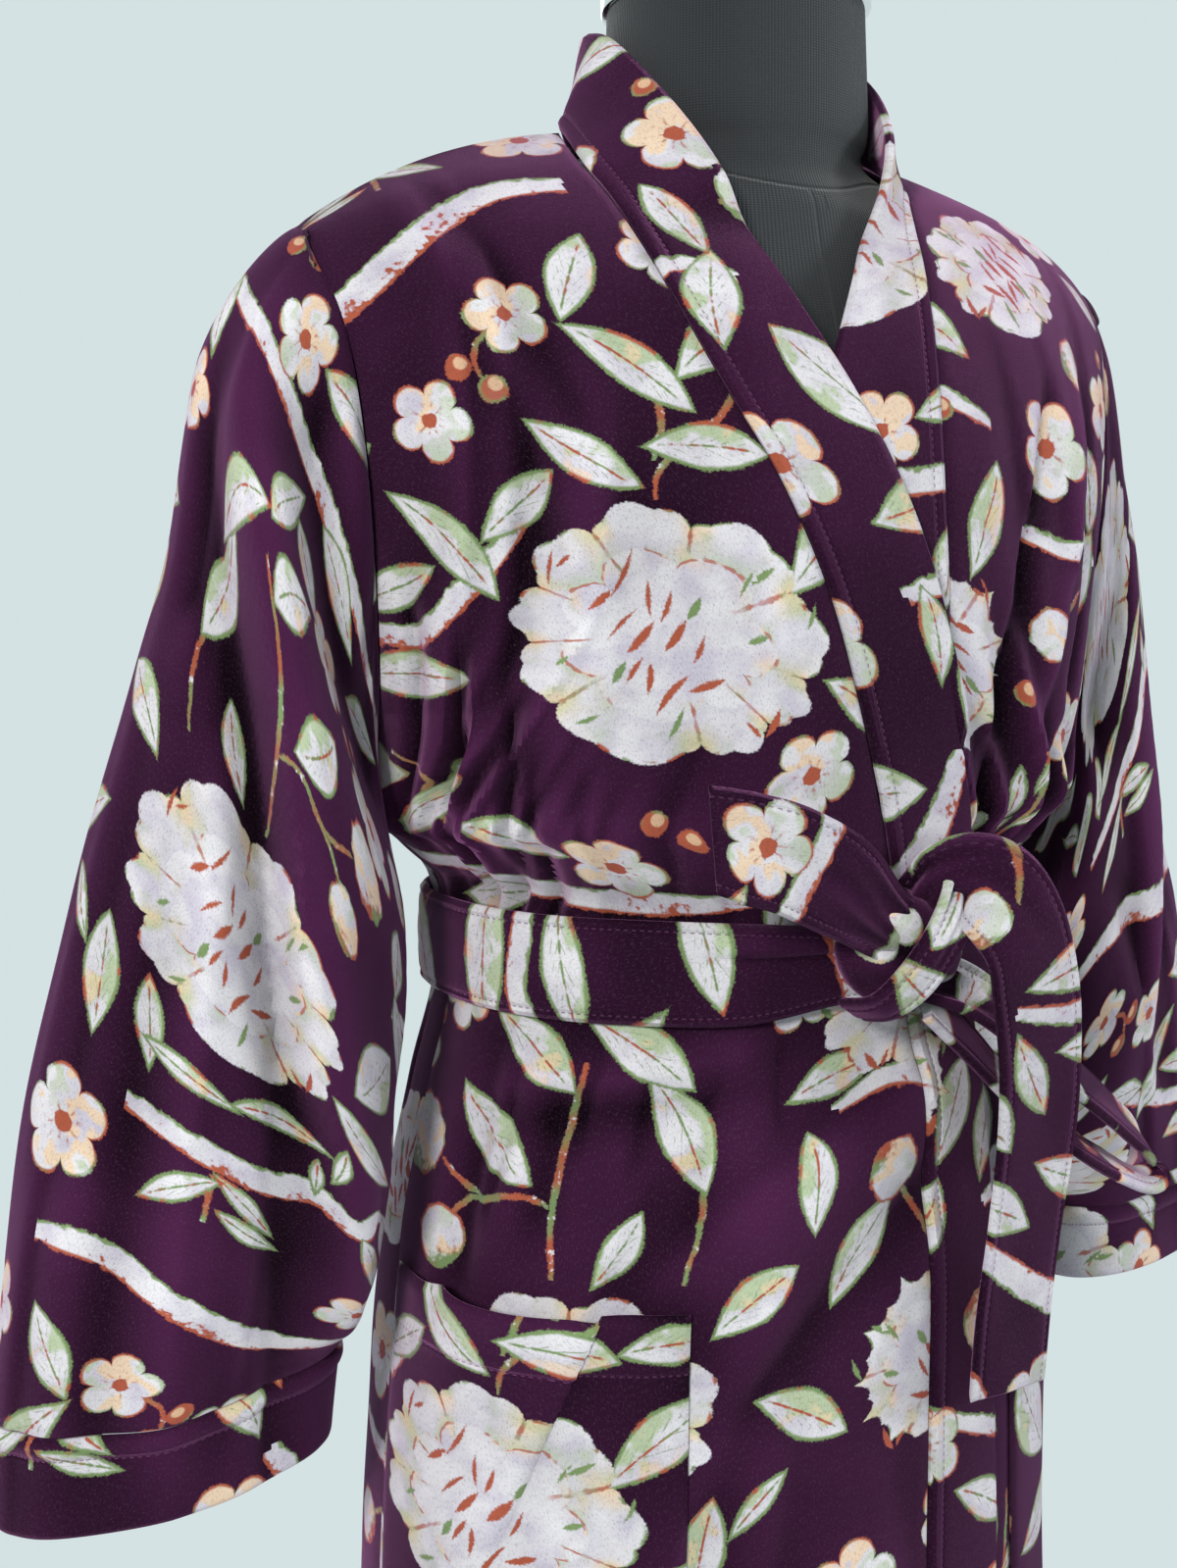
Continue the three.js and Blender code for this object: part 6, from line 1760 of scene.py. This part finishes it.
def turnedPiece(name, radius, low, high, facets, shape):
    # a round piece: a cylinder, then what shape does to it in edit mode
    bpy.ops.object.select_all(action="DESELECT")
    bpy.ops.mesh.primitive_cylinder_add(
        vertices=facets, radius=radius / 1000, depth=(high - low) / 1000,
        location=(0, 0, (high + low) / 2000))
    piece = bpy.context.active_object
    piece.name = name
    bpy.ops.object.transform_apply(location=True, rotation=True, scale=True)
    bpy.ops.object.mode_set(mode="EDIT")
    bpy.ops.mesh.select_mode(type="FACE")
    shape(piece)
    bpy.ops.object.mode_set(mode="OBJECT")
    bpy.ops.object.shade_smooth_by_angle(angle=35 * degree)
    piece.select_set(False)
    return piece


standSettings = {
    "capRadius": 60.8, "capLow": 1470.3, "capHigh": 1486.3,
    "poleRadius": 16, "baseRadius": 190, "baseHigh": 14,
}


def shapeCap(piece):
    pickFaces(piece, lambda face: face.normal.z > 0.9)
    bpy.ops.mesh.bevel(offset=0.005, segments=4, affect="EDGES")
    pickFaces(piece, lambda face: face.normal.z > 0.99)
    bpy.ops.mesh.inset(thickness=0.012, depth=0.0012)
    bpy.ops.mesh.inset(thickness=0.026, depth=0.0012)
    pickFaces(piece, lambda face: face.normal.z < -0.9)
    bpy.ops.mesh.bevel(offset=0.001, segments=2, affect="EDGES")


def shapePole(piece):
    pickFaces(piece, lambda face: abs(face.normal.z) > 0.9)
    bpy.ops.mesh.bevel(offset=0.0012, segments=2, affect="EDGES")


def shapeBase(piece):
    pickFaces(piece, lambda face: face.normal.z > 0.9)
    bpy.ops.mesh.bevel(offset=0.006, segments=4, affect="EDGES")
    pickFaces(piece, lambda face: face.normal.z < -0.9)
    bpy.ops.mesh.bevel(offset=0.0015, segments=2, affect="EDGES")


def makeStand():
    s = standSettings
    cap = turnedPiece("neckCap", s["capRadius"], s["capLow"], s["capHigh"], 96, shapeCap)
    cap.data.materials.append(capMetal)
    finishPiece(cap, "form_cap")
    pole = turnedPiece("standPole", s["poleRadius"], 14.3, 734.7, 48, shapePole)
    pole.data.materials.append(poleMetal)
    finishPiece(pole, "stand_pole")
    base = turnedPiece("standBase", s["baseRadius"], 0, s["baseHigh"], 128, shapeBase)
    base.data.materials.append(basePaint)
    finishPiece(base, "stand_base")


def plainTone(name, colour):
    shader = Shader(name)
    places = shader.node("ShaderNodeTexCoord", {}, {}, "Object")
    mottle = shader.noise(places, 3.0, 3.0)
    shader.set(
        Base_Color=shader.tint(shader.mix(0.0, colour, colour), 1 + mottle * 0.04),
        Roughness=0.9 + mottle * 0.05)
    return shader.material


studio = {
    "floorRadius": 1.2, "floor": (0.45, 0.49, 0.50), "world": (0.86, 0.985, 1.0), "worldStrength": 0.77,
    "lights": [
        ("keyLight", (-2.3, -1.9, 2.3), (0, 0, 1.1), 0.7, 120, (1.0, 0.985, 0.96)),
        ("fillLight", (2.5, -1.7, 1.8), (0, 0, 1.05), 1.0, 68, (0.97, 0.98, 1.0)),
        ("rearLight", (0.6, 2.6, 2.6), (0, 0, 1.1), 1.8, 30, (0.96, 0.98, 1.0)),
    ],
}


def makeStudio():
    bpy.ops.object.select_all(action="DESELECT")
    bpy.ops.mesh.primitive_circle_add(vertices=128, radius=studio["floorRadius"], fill_type="NGON")
    floor = bpy.context.active_object
    floor.name = "paleFloor"
    floor.data.materials.append(plainTone("paleFloorPaint", studio["floor"]))
    world = bpy.data.worlds.new("paleRoom")
    world.use_nodes = True
    world.node_tree.nodes["Background"].inputs["Color"].default_value = (*studio["world"], 1)
    world.node_tree.nodes["Background"].inputs["Strength"].default_value = studio["worldStrength"]
    bpy.context.scene.world = world
    bpy.context.scene.view_settings.view_transform = "Standard"
    for name, place, target, size, power, colour in studio["lights"]:
        data = bpy.data.lights.new(name, "AREA")
        data.shape, data.size, data.energy, data.color = "DISK", size, power, colour
        lamp = bpy.data.objects.new(name, data)
        lamp.location = place
        lamp.rotation_euler = (Vector(target) - Vector(place)).to_track_quat("-Z", "Y").to_euler()
        bpy.context.collection.objects.link(lamp)


makeFrontRight()
makeFrontLeft()
makeBack()
print("fronts and back made")
makeBand(-1, "bandRightCloth", "band_right", (-120.0, -420.0))
makeBand(1, "bandLeftCloth", "band_left", (30.0, -160.0))
print("bands made")
makeSleeve(-1, "sleeveRightCloth", "sleeve_right", (90.0, 260.0))
makeSleeve(1, "sleeveLeftCloth", "sleeve_left", (-140.0, 60.0))
makeCuff(-1, "cuffRightCloth", "cuff_right", (30.0, -120.0))
makeCuff(1, "cuffLeftCloth", "cuff_left", (-40.0, 210.0))
print("sleeves and cuffs made")
makePocket(-1, "pocketRightCloth", "pocket_right", (60.0, -480.0))
makePocket(1, "pocketLeftCloth", "pocket_left", (-60.0, -100.0))
print("pockets made")
makeBeltWrap((-48.0, -210.0))
makeKnot((-4.0, -1348.0))
makeStrap("beltShortEnd", "belt_tail_short", shortTail, 24, (28.0, 150.0), slant=0.35)
makeStrap("beltLongEnd", "belt_tail_long", longTail, 16, (-98.0, 240.0))
makeStrap("beltBowLoop", "belt_loop", beltLoop, 12, (-100.0, -70.0), endOpen=False)
print("belt made")
makeForm()
makeStand()
makeStudio()
print("form, stand and studio made")
